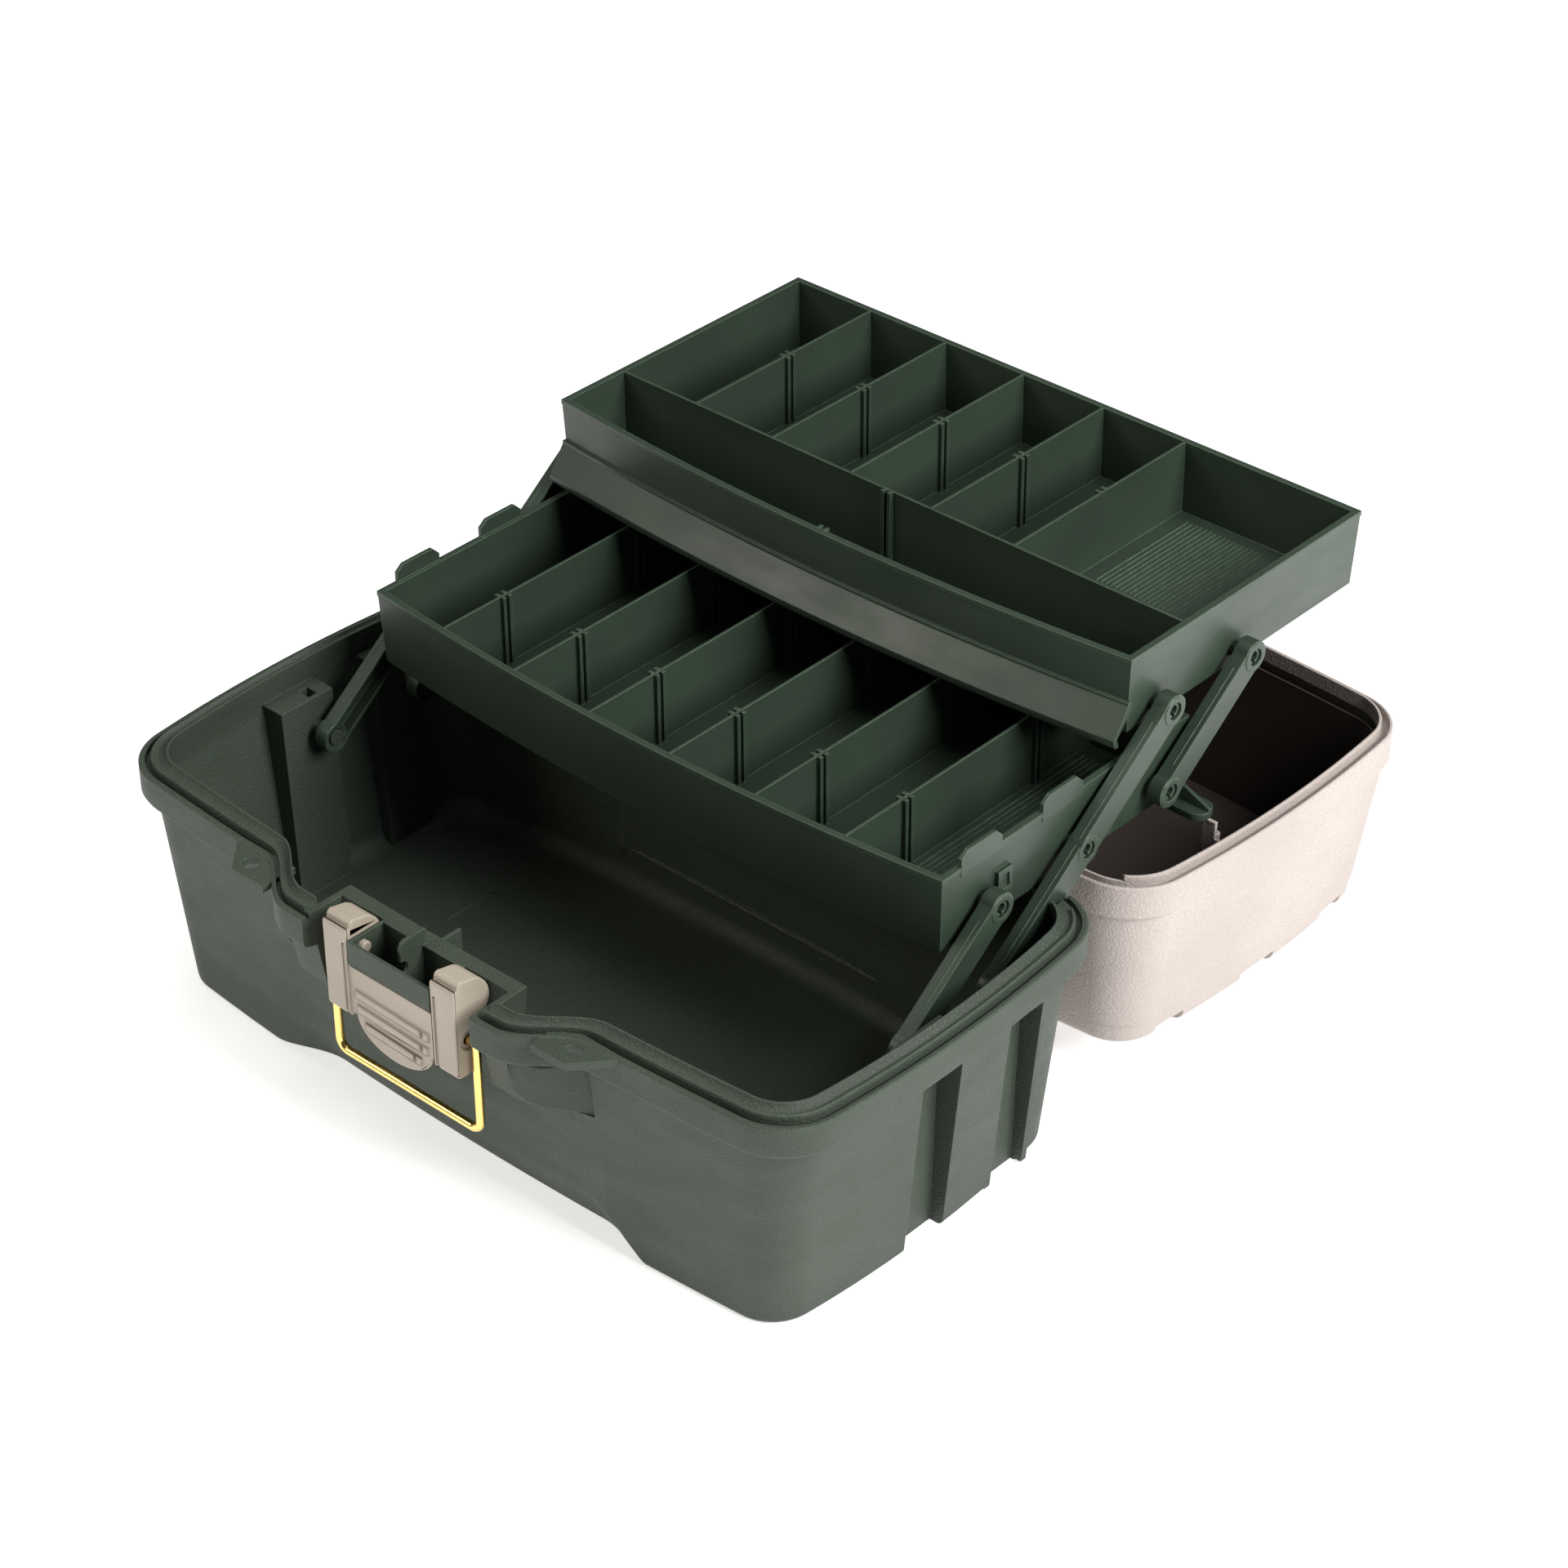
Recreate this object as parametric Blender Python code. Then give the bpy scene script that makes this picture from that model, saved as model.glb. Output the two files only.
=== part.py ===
"""Fishing tackle box with two cantilever trays, standing open.

Metres, +X to the right along the box, +Y to the rear, +Z up. The origin is on the floor under the
middle of the base tub. The lid is opened flat behind the tub and the trays are swung out over it.
"""

import math

import bmesh
import bpy
from mathutils import Matrix, Vector

MM = 0.001

# Plan of the tub and the lid at their rims
HALF_LENGTH = 206.5 * MM
HALF_DEPTH = 108.6 * MM
FRONT_BOW = 9.4 * MM
END_BOW = 8.3 * MM
CORNER_RADIUS = 30 * MM

# Tub
RIM_Z = 116.5 * MM
BAND_Z = 101 * MM
TONGUE_RISE = 3.5 * MM
TONGUE_INSET = 6.6 * MM
TUB_INSET = 8.4 * MM
FOOT_INSET = (17.5 * MM, 10.7 * MM)
WALL_INSET = (7.9 * MM, 4.0 * MM)
FLOOR_TOP_Z = 5 * MM
TUB_WALL = 3.3 * MM

# Swelling of the front rim on both sides of the latch pocket
BUMP = 18.5 * MM
BUMP_FLAT_X = 62 * MM
BUMP_END_X = 98 * MM
POCKET_X = 50 * MM
POCKET_Y = -103.5 * MM
POCKET_LOW_Z = 60 * MM

# Recess along the foot of the front wall
ARCH_FOOT_Y = 85.3 * MM
ARCH_SLOPE = math.radians(27)

# Latch cell, latch and bail
CELL_X = 24.5 * MM
CELL_FRONT_Y = -124.6 * MM
CELL_LOW_Z = 93 * MM
CELL_LIP_Z = 105 * MM
CELL_WALL = 1.5 * MM
LATCH_PIVOT = (-117.0 * MM, 111.0 * MM)
LATCH_X = 39.2 * MM
LATCH_FRONT_Y = -124.6 * MM
BAIL_PIVOT = (-116.8 * MM, 93.8 * MM)
BAIL_X = 42.9 * MM
BAIL_WIRE = 2.0 * MM
BAIL_LOW_Z = 47.5 * MM

# Posts on the tub's ends, and the grooves behind them
POST_SPANS = ((-19.8 * MM, 11.3 * MM), (37.2 * MM, 64.8 * MM))
POST_TOP_Z = 107 * MM
POST_FACE_LOW_X = 178.6 * MM
POST_FACE_TOP_X = 182.4 * MM
GROOVE_TOP_Z = 92 * MM

# Linkage: all pivots lie along X, given as (y, z)
LINK = 70 * MM
OPEN_ANGLE = math.radians(37)
PIVOT_SPACING = 56.6 * MM
FRONT_FOOT = (1.2 * MM, 90.3 * MM)
ARM_OUTER_X = 177 * MM
ARM_INNER_X = 169.4 * MM
ARM_END_RADIUS = 7.4 * MM
ARM_HALF_WIDTH = 6.3 * MM
PIN_RADIUS = 3.7 * MM
PIN_HOLE_RADIUS = 4.1 * MM
PIN_END_X = 178.2 * MM

# Trays
TRAY_HALF_LENGTH = 167.4 * MM
TRAY_DRAFT = 1.8 * MM
TRAY_BOW = 9.6 * MM
TRAY_WALL = 1.35 * MM
TRAY_FLOOR = 1.25 * MM
DIVIDER = 1.2 * MM
TRAY_HEIGHT = 37.4 * MM
TRAY_DEPTH = 164 * MM
LOWER_TRAY_FRONT_Y = 29.2 * MM
LOWER_TRAY_RIM_Z = 157.0 * MM
LOWER_DIVIDERS = [(-122.4 + 47.8 * i) * MM for i in range(6)]
EAR_Y = 183.5 * MM
EAR_END_X = 188.2 * MM
EAR_HALF_WIDTH = 6.5 * MM
UPPER_TRAY_FRONT_Y = 149.6 * MM
UPPER_TRAY_RIM_Z = 205.6 * MM
UPPER_LONG_DIVIDER_Y = 188.6 * MM
UPPER_DIVIDERS = [(-118.3 + 47.5 * i) * MM for i in range(5)]
SKIRT_CREASE_DROP = 23 * MM
SKIRT_FLARE = 9.2 * MM
SKIRT_DROP = 41 * MM

# Lid, in its own frame: rim plane facing up, y measured from the hinge axis
HINGE = (110.0 * MM, 115.0 * MM)
LID_TILT = math.radians(-1.65)
HINGE_GAP = 1.4 * MM
LID_RIM_Z = -1.5 * MM
LID_HEIGHT = 92.7 * MM
LID_WALL = 1.4 * MM
LINER = 0.9 * MM
LINER_FRONT_INSET = 8 * MM
LID_TOP_INSET = 11.4 * MM
LID_BAND = 16 * MM
LID_CENTRE_Y = HALF_DEPTH + HINGE_GAP
LID_TOP_Z = LID_RIM_Z - LID_HEIGHT
KNUCKLE_RADIUS = 3.9 * MM
KNUCKLE_CLEAR = 4.7 * MM
HINGE_X = 110 * MM
REST_X = (179 * MM, 185.6 * MM)
REST_Y = 83.0 * MM
REST_TOP_Z = -3.6 * MM
REST_WEB_Z = -12 * MM
REST_LOW_Z = -50 * MM
HINGE_PIN_RADIUS = 1.5 * MM

# Top-access compartments and carry handle, on the lid's top
COVER_X = (58 * MM, 181.5 * MM)
COVER_HALF_Y = 62.5 * MM
COVER_HINGE_X = 186 * MM
COVER_THICK = 1.8 * MM
COVER_LUGS = ((-60 * MM, 15 * MM), (0.0, 22 * MM), (60 * MM, 15 * MM))
LUG_RADIUS = 3.0 * MM
COMPARTMENT_DEPTH = 6.6 * MM
COVER_PIN_RADIUS = 1.2 * MM
WELL_X = 53 * MM
WELL_HALF_Y = 25 * MM
HANDLE_X = 45 * MM
HANDLE_PIVOT_Y = -15 * MM
HANDLE_GRIP_Y = 15 * MM
HANDLE_RADIUS = 3.0 * MM
HANDLE_PIN_RADIUS = 1.5 * MM

SLIP = 0.3 * MM
OVER = 5 * MM


def clear_scene():
    for obj in list(bpy.data.objects):
        bpy.data.objects.remove(obj, do_unlink=True)


def new_collection(name):
    collection = bpy.data.collections.new(name)
    bpy.context.scene.collection.children.link(collection)
    return collection


def plastic(name, colour, roughness, metallic=0.0):
    material = bpy.data.materials.new(name)
    material.use_nodes = True
    shader = material.node_tree.nodes["Principled BSDF"]
    shader.inputs["Base Color"].default_value = (*colour, 1.0)
    shader.inputs["Roughness"].default_value = roughness
    shader.inputs["Metallic"].default_value = metallic
    material.diffuse_color = (*colour, 1.0)
    return material


def object_from(bm, name, collection):
    bmesh.ops.recalc_face_normals(bm, faces=bm.faces)
    mesh = bpy.data.meshes.new(name)
    bm.to_mesh(mesh)
    bm.free()
    obj = bpy.data.objects.new(name, mesh)
    collection.objects.link(obj)
    return obj


def helper(bm, name):
    """A solid that only cuts or joins another one."""
    obj = object_from(bm, name, CUTTERS)
    obj.hide_render = True
    obj.display_type = "WIRE"
    return obj


def box(low, high):
    bm = bmesh.new()
    size = Vector(high) - Vector(low)
    middle = (Vector(high) + Vector(low)) / 2
    bmesh.ops.create_cube(bm, size=1.0, matrix=Matrix.Translation(middle) @ Matrix.Diagonal((*size, 1.0)))
    return bm


def rod_x(x_low, x_high, y, z, radius, sides=16):
    """A round bar along X."""
    bm = bmesh.new()
    turn = Matrix.Rotation(math.pi / 2, 4, "Y")
    place = Matrix.Translation(((x_low + x_high) / 2, y, z))
    bmesh.ops.create_cone(
        bm, cap_ends=True, segments=sides, radius1=radius, radius2=radius, depth=x_high - x_low,
        matrix=place @ turn,
    )
    return bm


def rod_y(x, y_low, y_high, z, radius, sides=16):
    """A round bar along Y."""
    bm = bmesh.new()
    turn = Matrix.Rotation(math.pi / 2, 4, "X")
    place = Matrix.Translation((x, (y_low + y_high) / 2, z))
    bmesh.ops.create_cone(
        bm, cap_ends=True, segments=sides, radius1=radius, radius2=radius, depth=y_high - y_low,
        matrix=place @ turn,
    )
    return bm


def rod_z(x, y, z_low, z_high, radius, sides=12):
    """A round bar along Z."""
    bm = bmesh.new()
    place = Matrix.Translation((x, y, (z_low + z_high) / 2))
    bmesh.ops.create_cone(
        bm, cap_ends=True, segments=sides, radius1=radius, radius2=radius, depth=z_high - z_low,
        matrix=place,
    )
    return bm


def extrude_outline(points, step):
    """A prism: the closed outline of 3-D points, swept by one straight step."""
    bm = bmesh.new()
    face = bm.faces.new([bm.verts.new(point) for point in points])
    swept = bmesh.ops.extrude_face_region(bm, geom=[face])
    verts = [item for item in swept["geom"] if isinstance(item, bmesh.types.BMVert)]
    bmesh.ops.translate(bm, verts=verts, vec=Vector(step))
    return bm


def prism_x(outline, x_low, x_high):
    """A prism along X of an outline given as (y, z)."""
    return extrude_outline([(x_low, y, z) for y, z in outline], (x_high - x_low, 0, 0))


def prism_y(outline, y_low, y_high):
    """A prism along Y of an outline given as (x, z)."""
    return extrude_outline([(x, y_low, z) for x, z in outline], (0, y_high - y_low, 0))


def prism_z(outline, z_low, z_high):
    """A prism along Z of an outline given as (x, y)."""
    return extrude_outline([(x, y, z_low) for x, y in outline], (0, 0, z_high - z_low))


def loft(rings):
    """A closed solid through rings of equal point count, one above the other."""
    bm = bmesh.new()
    loops = [[bm.verts.new(point) for point in ring] for ring in rings]
    count = len(loops[0])
    for below, above in zip(loops, loops[1:]):
        for i in range(count):
            j = (i + 1) % count
            bm.faces.new((below[i], below[j], above[j], above[i]))
    bm.faces.new(loops[0][::-1])
    bm.faces.new(loops[-1])
    return bm


def merged(*solids):
    """Separate solids in one mesh."""
    target = bmesh.new()
    for solid in solids:
        mesh = bpy.data.meshes.new("part")
        solid.to_mesh(mesh)
        solid.free()
        target.from_mesh(mesh)
        bpy.data.meshes.remove(mesh)
    return target


def mirrored_x(bm):
    """The solid with its mirror image across the middle plane, as two separate solids."""
    geometry = bm.verts[:] + bm.edges[:] + bm.faces[:]
    copy = bmesh.ops.duplicate(bm, geom=geometry)["geom"]
    verts = [item for item in copy if isinstance(item, bmesh.types.BMVert)]
    faces = [item for item in copy if isinstance(item, bmesh.types.BMFace)]
    bmesh.ops.scale(bm, vec=(-1, 1, 1), verts=verts)
    bmesh.ops.reverse_faces(bm, faces=faces)
    return bm


def combine(obj, operation, bm, name):
    tool = helper(bm, name)
    tool.parent = obj.parent
    modifier = obj.modifiers.new(name, "BOOLEAN")
    modifier.operation = operation
    modifier.solver = "EXACT"
    modifier.object = tool
    return tool


def join(obj, bm, name):
    return combine(obj, "UNION", bm, name)


def cut(obj, bm, name):
    return combine(obj, "DIFFERENCE", bm, name)


def finish_piece(obj, material, parent, smooth=False):
    obj.data.materials.append(material)
    obj.parent = parent
    if smooth:
        obj.data.shade_smooth()
    for modifier in obj.modifiers:
        if modifier.type == "BOOLEAN":
            modifier.object.parent = parent
    return obj


def empty_at(name, place, parent=None, tilt=0.0):
    obj = bpy.data.objects.new(name, None)
    obj.empty_display_size = 0.02
    obj.location = place
    obj.rotation_euler = (tilt, 0, 0)
    obj.parent = parent
    PARTS.objects.link(obj)
    return obj


def shifted(obj, pivot):
    """Moves a piece modelled in the parent's coordinates so that its origin lies on its pivot."""
    offset = Vector(pivot)
    obj.data.transform(Matrix.Translation(-offset))
    for modifier in obj.modifiers:
        if modifier.type == "BOOLEAN":
            modifier.object.data.transform(Matrix.Translation(-offset))
    return obj


# ---- plan of the tub and the lid -------------------------------------------------------------------


def quarter(half_x, half_y, radius):
    """Front-right quarter of a bowed rectangle with round corners, from the middle of the front to the
    middle of the right end. Front and end are arcs and the corner arc is tangent to both."""
    front_radius = (half_x**2 + FRONT_BOW**2) / (2 * FRONT_BOW)
    end_radius = (half_y**2 + END_BOW**2) / (2 * END_BOW)
    front_centre = Vector((0, front_radius - half_y))
    end_centre = Vector((half_x - end_radius, 0))
    reach = front_radius - radius
    between = end_centre - front_centre
    along = (reach**2 - (end_radius - radius) ** 2 + between.length_squared) / (2 * between.length)
    across = math.sqrt(reach**2 - along**2)
    forward = between.normalized()
    centre = front_centre + along * forward - across * Vector((-forward.y, forward.x))
    if centre.y > 0:
        centre = front_centre + along * forward + across * Vector((-forward.y, forward.x))
    start = math.atan2(centre.y - front_centre.y, centre.x - front_centre.x)
    stop = math.atan2(centre.y - end_centre.y, centre.x - end_centre.x)
    corner = [centre + radius * Vector((math.cos(a), math.sin(a))) for a in spread(start, stop, 5)]
    front = [(x, front_centre.y - math.sqrt(front_radius**2 - x**2)) for x in front_stations(corner[0].x)]
    end_angles = spread(stop, 0, 3)[1:]
    end = [end_centre + end_radius * Vector((math.cos(a), math.sin(a))) for a in end_angles]
    return [Vector(p) for p in front] + corner + end


def spread(start, stop, steps):
    return [start + (stop - start) * i / steps for i in range(steps + 1)]


def front_stations(last_x):
    """Places along the front where the swelling needs points, then on to the corner."""
    swelling = spread(BUMP_FLAT_X, BUMP_END_X, 5)
    inner = [0.0, POCKET_X + TUB_WALL - 0.5 * MM, POCKET_X + TUB_WALL]
    return inner + swelling + [(BUMP_END_X + last_x) / 2]


def swell(x, amount, hollow):
    """How far the front stands out at x. A hollow stays flat behind the latch pocket."""
    if hollow and x < POCKET_X + TUB_WALL - 0.1 * MM:
        return 0.0
    share = (x - BUMP_FLAT_X) / (BUMP_END_X - BUMP_FLAT_X)
    share = min(max(share, 0.0), 1.0)
    return amount * (1 + math.cos(math.pi * share)) / 2


def ring(z, inset, bump=0.0, hollow=False, radius=None, flip=False, centre_y=0.0):
    """The plan outline at one height, inset from the rim outline by (x, y)."""
    half_x = HALF_LENGTH - inset[0]
    half_y = HALF_DEPTH - inset[1]
    radius = radius or CORNER_RADIUS - min(inset) * 0.8
    right = quarter(half_x, half_y, radius)
    last_front = len(front_stations(0.0))
    rear_right = [Vector((p.x, -p.y)) for p in right[::-1][1:]]
    front = [Vector((p.x, p.y - swell(p.x, bump, hollow))) for p in right[:last_front]]
    half = front + right[last_front:] + rear_right
    whole = half + [Vector((-p.x, p.y)) for p in half[::-1][1:-1]]
    sign = -1 if flip else 1
    return [(p.x, centre_y + sign * p.y, z) for p in whole]


# ---- base tub --------------------------------------------------------------------------------------


def tub_rings():
    lip = 2.6 * MM
    groove = RIM_Z - 3.5 * MM
    low = BAND_Z - 2 * MM
    slope = (WALL_INSET[0] - FOOT_INSET[0]) / low
    slope_y = (WALL_INSET[1] - FOOT_INSET[1]) / low

    def wall(z):
        return (FOOT_INSET[0] + slope * z, FOOT_INSET[1] + slope_y * z)

    return [
        ring(0, wall(0)),
        ring(POCKET_LOW_Z, wall(POCKET_LOW_Z)),
        ring(75 * MM, wall(75 * MM), 0.55 * BUMP),
        ring(low, wall(low), 0.8 * BUMP),
        ring(BAND_Z, (1.5 * MM, 0.8 * MM), BUMP),
        ring(BAND_Z + 3 * MM, (0, 0), BUMP),
        ring(RIM_Z, (0, 0), BUMP),
        ring(RIM_Z, (lip, lip), BUMP),
        ring(groove, (lip, lip), BUMP),
        ring(groove, (TONGUE_INSET, TONGUE_INSET), BUMP),
        ring(RIM_Z + TONGUE_RISE, (TONGUE_INSET, TONGUE_INSET), BUMP),
    ]


def tub_hollow():
    low = (FOOT_INSET[0] + TUB_WALL - 0.5 * MM, FOOT_INSET[1] + TUB_WALL - 0.4 * MM)
    high = (WALL_INSET[0] + TUB_WALL + 0.3 * MM, TUB_INSET)
    rim = (TUB_INSET, TUB_INSET)

    def wall(z):
        share = (z - FLOOR_TOP_Z) / (BAND_Z - FLOOR_TOP_Z)
        return tuple(a + (b - a) * share for a, b in zip(low, high))

    return loft([
        ring(FLOOR_TOP_Z, wall(FLOOR_TOP_Z), hollow=True),
        ring(70 * MM, wall(70 * MM), hollow=True),
        ring(88 * MM, wall(88 * MM), 0.75 * BUMP, hollow=True),
        ring(BAND_Z, wall(BAND_Z), BUMP, hollow=True),
        ring(BAND_Z + 3 * MM, rim, BUMP, hollow=True),
        ring(RIM_Z + TONGUE_RISE + OVER, rim, BUMP, hollow=True),
    ])


def post(span, grow, face, z_low, z_high, outer_x):
    """A block against the right end wall. face is its inner face's x at the bottom and the top."""
    y_low, y_high = span[0] - grow, span[1] + grow
    outline = [(face[0], z_low), (outer_x[0], z_low), (outer_x[1], z_high), (face[1], z_high)]
    return prism_y(outline, y_low, y_high)


def add_posts(tub):
    face = (POST_FACE_LOW_X, POST_FACE_TOP_X)
    wall_low = HALF_LENGTH - FOOT_INSET[0] - 1.2 * MM
    wall_high = HALF_LENGTH - WALL_INSET[0] - 0.6 * MM
    for number, span in enumerate(POST_SPANS):
        solid = post(span, 0, face, 1 * MM, POST_TOP_Z, (wall_low, wall_high))
        join(tub, mirrored_x(solid), f"post_{number}")


def add_pivot_pins(tub):
    for number, (y, z) in enumerate((FRONT_FOOT, LONG_FOOT)):
        pin = rod_x(ARM_INNER_X + 0.4 * MM, POST_FACE_TOP_X + 1 * MM, y, z, PIN_RADIUS)
        join(tub, mirrored_x(pin), f"post_pin_{number}")


def cut_grooves(tub):
    """Two grooves up each end, outside the posts."""
    back = (POST_FACE_LOW_X + TUB_WALL, POST_FACE_LOW_X + TUB_WALL + 2.6 * MM)
    outer = (HALF_LENGTH, HALF_LENGTH + OVER)
    for number, span in enumerate(POST_SPANS):
        solid = post(span, -TUB_WALL, back, -OVER, GROOVE_TOP_Z, outer)
        cut(tub, mirrored_x(solid), f"groove_{number}")


def arch(x_top, x_foot, z_top):
    """Half of the low arch between the corner feet, as (x, z)."""
    return [(x_top + (x_foot - x_top) * math.sin(a), z_top * math.cos(a)) for a in spread(0, math.pi / 2, 5)]


def cut_arch(tub):
    """The front slopes in under an arched line between the corner feet."""
    half = arch(84 * MM, 121 * MM, 30 * MM)
    top = half + [(half[-1][0], -OVER)]
    outline = top + [(-x, z) for x, z in top[::-1]]
    solid = prism_y(outline, -60 * MM, 0)
    place = Matrix.Translation((0, -ARCH_FOOT_Y, 1.5 * MM)) @ Matrix.Rotation(ARCH_SLOPE, 4, "X")
    bmesh.ops.transform(solid, matrix=place, verts=solid.verts)
    cut(tub, solid, "front_arch")


def add_ramp(tub):
    """The inside face behind the arch, so that the wall keeps its thickness."""
    wall_y = HALF_DEPTH - FOOT_INSET[1] - 1.5 * MM
    outline = [(-wall_y, 1 * MM), (-wall_y, 34 * MM), (1 * MM - wall_y, 34 * MM), (-81 * MM, 1 * MM)]
    join(tub, prism_x(outline, -122 * MM, 122 * MM), "ramp")


def cut_arm_notches(tub):
    """The long arms lie across the rear corners of the rim."""
    def under_arm(y):
        drop = (ARM_END_RADIUS + 0.9 * MM) / math.cos(OPEN_ANGLE)
        return LONG_FOOT[1] + (y - LONG_FOOT[0]) * math.tan(OPEN_ANGLE) - drop

    low_y, high_y = 80 * MM, 116 * MM
    outline = [(low_y, under_arm(low_y)), (high_y, under_arm(high_y)), (high_y, 140 * MM), (low_y, 140 * MM)]
    cut(tub, mirrored_x(prism_x(outline, ARM_INNER_X - 1 * MM, ARM_OUTER_X + 1 * MM)), "arm_notch")


def cell_outline(inset, top, back):
    """Side view of the latch cell as (y, z): its floor slopes up to a low front wall."""
    front = CELL_FRONT_Y + inset
    return [(front, top), (front, CELL_LIP_Z + 0.7 * inset), (-112 * MM, CELL_LOW_Z + inset),
            (back, CELL_LOW_Z + inset), (back, top)]


def add_latch_cell(tub):
    """The open box in the middle of the latch pocket, with its two fins."""
    back = POCKET_Y + 1 * MM
    join(tub, prism_x(cell_outline(0, RIM_Z, back), -CELL_X, CELL_X), "cell")
    fin_front = CELL_FRONT_Y + 7 * MM
    outline = [
        (fin_front, RIM_Z - 8 * MM), (fin_front, RIM_Z + 4 * MM), (fin_front + 1 * MM, RIM_Z + 6.4 * MM),
        (fin_front + 3 * MM, RIM_Z + 7.6 * MM), (-103 * MM, RIM_Z + 7.6 * MM), (-103 * MM, RIM_Z - 8 * MM),
    ]
    join(tub, prism_x(outline, -0.8 * MM, 0.8 * MM), "cell_fin")
    rear = box((2.2 * MM, -104 * MM, 100 * MM), (3.8 * MM, -86 * MM, RIM_Z - 0.9 * MM))
    join(tub, rear, "rear_fin")


def cut_latch_pocket(tub):
    low = (-POCKET_X, -145 * MM, POCKET_LOW_Z - OVER)
    cut(tub, box(low, (POCKET_X, POCKET_Y, RIM_Z + 3 * OVER)), "pocket")
    # The tongue stops at the pocket, where the wall is level with the rim.
    side = POCKET_X + TUB_WALL
    ring_top = box((-side, -145 * MM, RIM_Z), (side, -95 * MM, RIM_Z + 3 * OVER))
    cut(tub, ring_top, "ring_top")


def cut_cell(tub):
    inside = cell_outline(CELL_WALL, RIM_Z + OVER, -105.2 * MM)
    halves = ((-CELL_X + CELL_WALL, -0.8 * MM), (0.8 * MM, CELL_X - CELL_WALL))
    for number, (low_x, high_x) in enumerate(halves):
        cut(tub, prism_x(inside, low_x, high_x), f"cell_inside_{number}")
    low = (-0.9 * MM, CELL_FRONT_Y + CELL_WALL, CELL_LIP_Z + 2 * MM)
    cut(tub, box(low, (0.9 * MM, -117.6 * MM, RIM_Z + OVER)), "cell_front_gap")
    y, z = LATCH_PIVOT
    cut(tub, rod_x(-CELL_X - OVER, CELL_X + OVER, y, z, 3.3 * MM), "latch_pin_holes")


def add_ears(tub):
    """Flat ears with a hole for a padlock, in the bend of the rim."""
    outline = [
        (117 * MM, -103 * MM), (112 * MM, -107.4 * MM), (99.5 * MM, -121.5 * MM), (80 * MM, -121.5 * MM),
        (80 * MM, -103 * MM),
    ]
    ear = prism_z(outline, RIM_Z - 4 * MM, RIM_Z - 0.4 * MM)
    join(tub, mirrored_x(ear), "ears")


def cut_ear_holes(tub):
    holes = bmesh.new()
    for side in (-1, 1):
        place = Matrix.Translation((side * 96.5 * MM, -113.3 * MM, RIM_Z))
        bmesh.ops.create_cone(
            holes, cap_ends=True, segments=16, radius1=4.2 * MM, radius2=4.2 * MM, depth=24 * MM,
            matrix=place,
        )
    cut(tub, holes, "ear_holes")


def knuckle_spans():
    """(low x, high x, on the lid) for the right-hand hinge."""
    return ((HINGE_X - 18 * MM, HINGE_X - 10.1 * MM, False), (HINGE_X - 9.5 * MM, HINGE_X + 9.5 * MM, True),
            (HINGE_X + 10.1 * MM, HINGE_X + 18 * MM, False))


def add_knuckles(obj, y, z, on_lid):
    """Hinge knuckles, each with an arm back to the rim of the tub or the lid."""
    away = 1 if on_lid else -1
    shoulder = 0.6 * MM
    start = math.asin(shoulder / KNUCKLE_RADIUS)
    curve = [(-away * KNUCKLE_RADIUS * math.cos(a), KNUCKLE_RADIUS * math.sin(a))
             for a in spread(math.pi - start, -math.pi / 2, 9)]
    outline = curve + [(away * 9 * MM, -KNUCKLE_RADIUS), (away * 9 * MM, shoulder)]
    wanted = [span for span in knuckle_spans() if span[2] == on_lid]
    for number, (low_x, high_x, _) in enumerate(wanted):
        solid = prism_x([(y + a, z + b) for a, b in outline], low_x, high_x)
        join(obj, mirrored_x(solid), f"knuckle_{number}")


def cut_knuckle_room(obj, y, z, on_lid):
    """Room for the other part's knuckles to turn, and the hole for the pin."""
    others = [span for span in knuckle_spans() if span[2] != on_lid]
    for number, (low_x, high_x, _) in enumerate(others):
        room = rod_x(low_x - 0.3 * MM, high_x + 0.3 * MM, y, z, KNUCKLE_CLEAR)
        cut(obj, mirrored_x(room), f"knuckle_room_{number}")
    hole = rod_x(HINGE_X - 25 * MM, HINGE_X + 25 * MM, y, z, HINGE_PIN_RADIUS + 0.35 * MM, 16)
    cut(obj, mirrored_x(hole), "hinge_pin_hole")


def build_tub(root, material):
    tub = object_from(loft(tub_rings()), "base_tub", PARTS)
    cut(tub, tub_hollow(), "tub_hollow")
    add_posts(tub)
    add_ramp(tub)
    add_ears(tub)
    cut_latch_pocket(tub)
    add_latch_cell(tub)
    cut_cell(tub)
    cut_ear_holes(tub)
    cut_grooves(tub)
    cut_arch(tub)
    cut_arm_notches(tub)
    rear_tongue = box((-186 * MM, 90 * MM, RIM_Z), (186 * MM, 120 * MM, RIM_Z + 2 * OVER))
    cut(tub, rear_tongue, "rear_tongue")
    add_pivot_pins(tub)
    add_knuckles(tub, *HINGE, on_lid=False)
    cut_knuckle_room(tub, *HINGE, on_lid=False)
    return finish_piece(tub, material, root)


# ---- latch and bail --------------------------------------------------------------------------------


def lobe_outline():
    """Side view of a latch lobe as (y, z). Its back is round about the pivot and its front stands up."""
    y, z = LATCH_PIVOT
    head = 12.9 * MM
    turns = spread(math.radians(-8), math.pi / 2, 7)
    back = [(y + head * math.cos(a), z + head * math.sin(a)) for a in turns]
    top = [(y - 3.0 * MM, z + 14.2 * MM), (y - 5.6 * MM, z + 14.8 * MM), (LATCH_FRONT_Y, z + 13.0 * MM)]
    low = [(LATCH_FRONT_Y, 79 * MM), (LATCH_FRONT_Y + 2.5 * MM, 76.5 * MM), (-112.5 * MM, 76.5 * MM)]
    return back + top + low + [(-110.5 * MM, 79 * MM), (-110.5 * MM, 98 * MM)]


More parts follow.
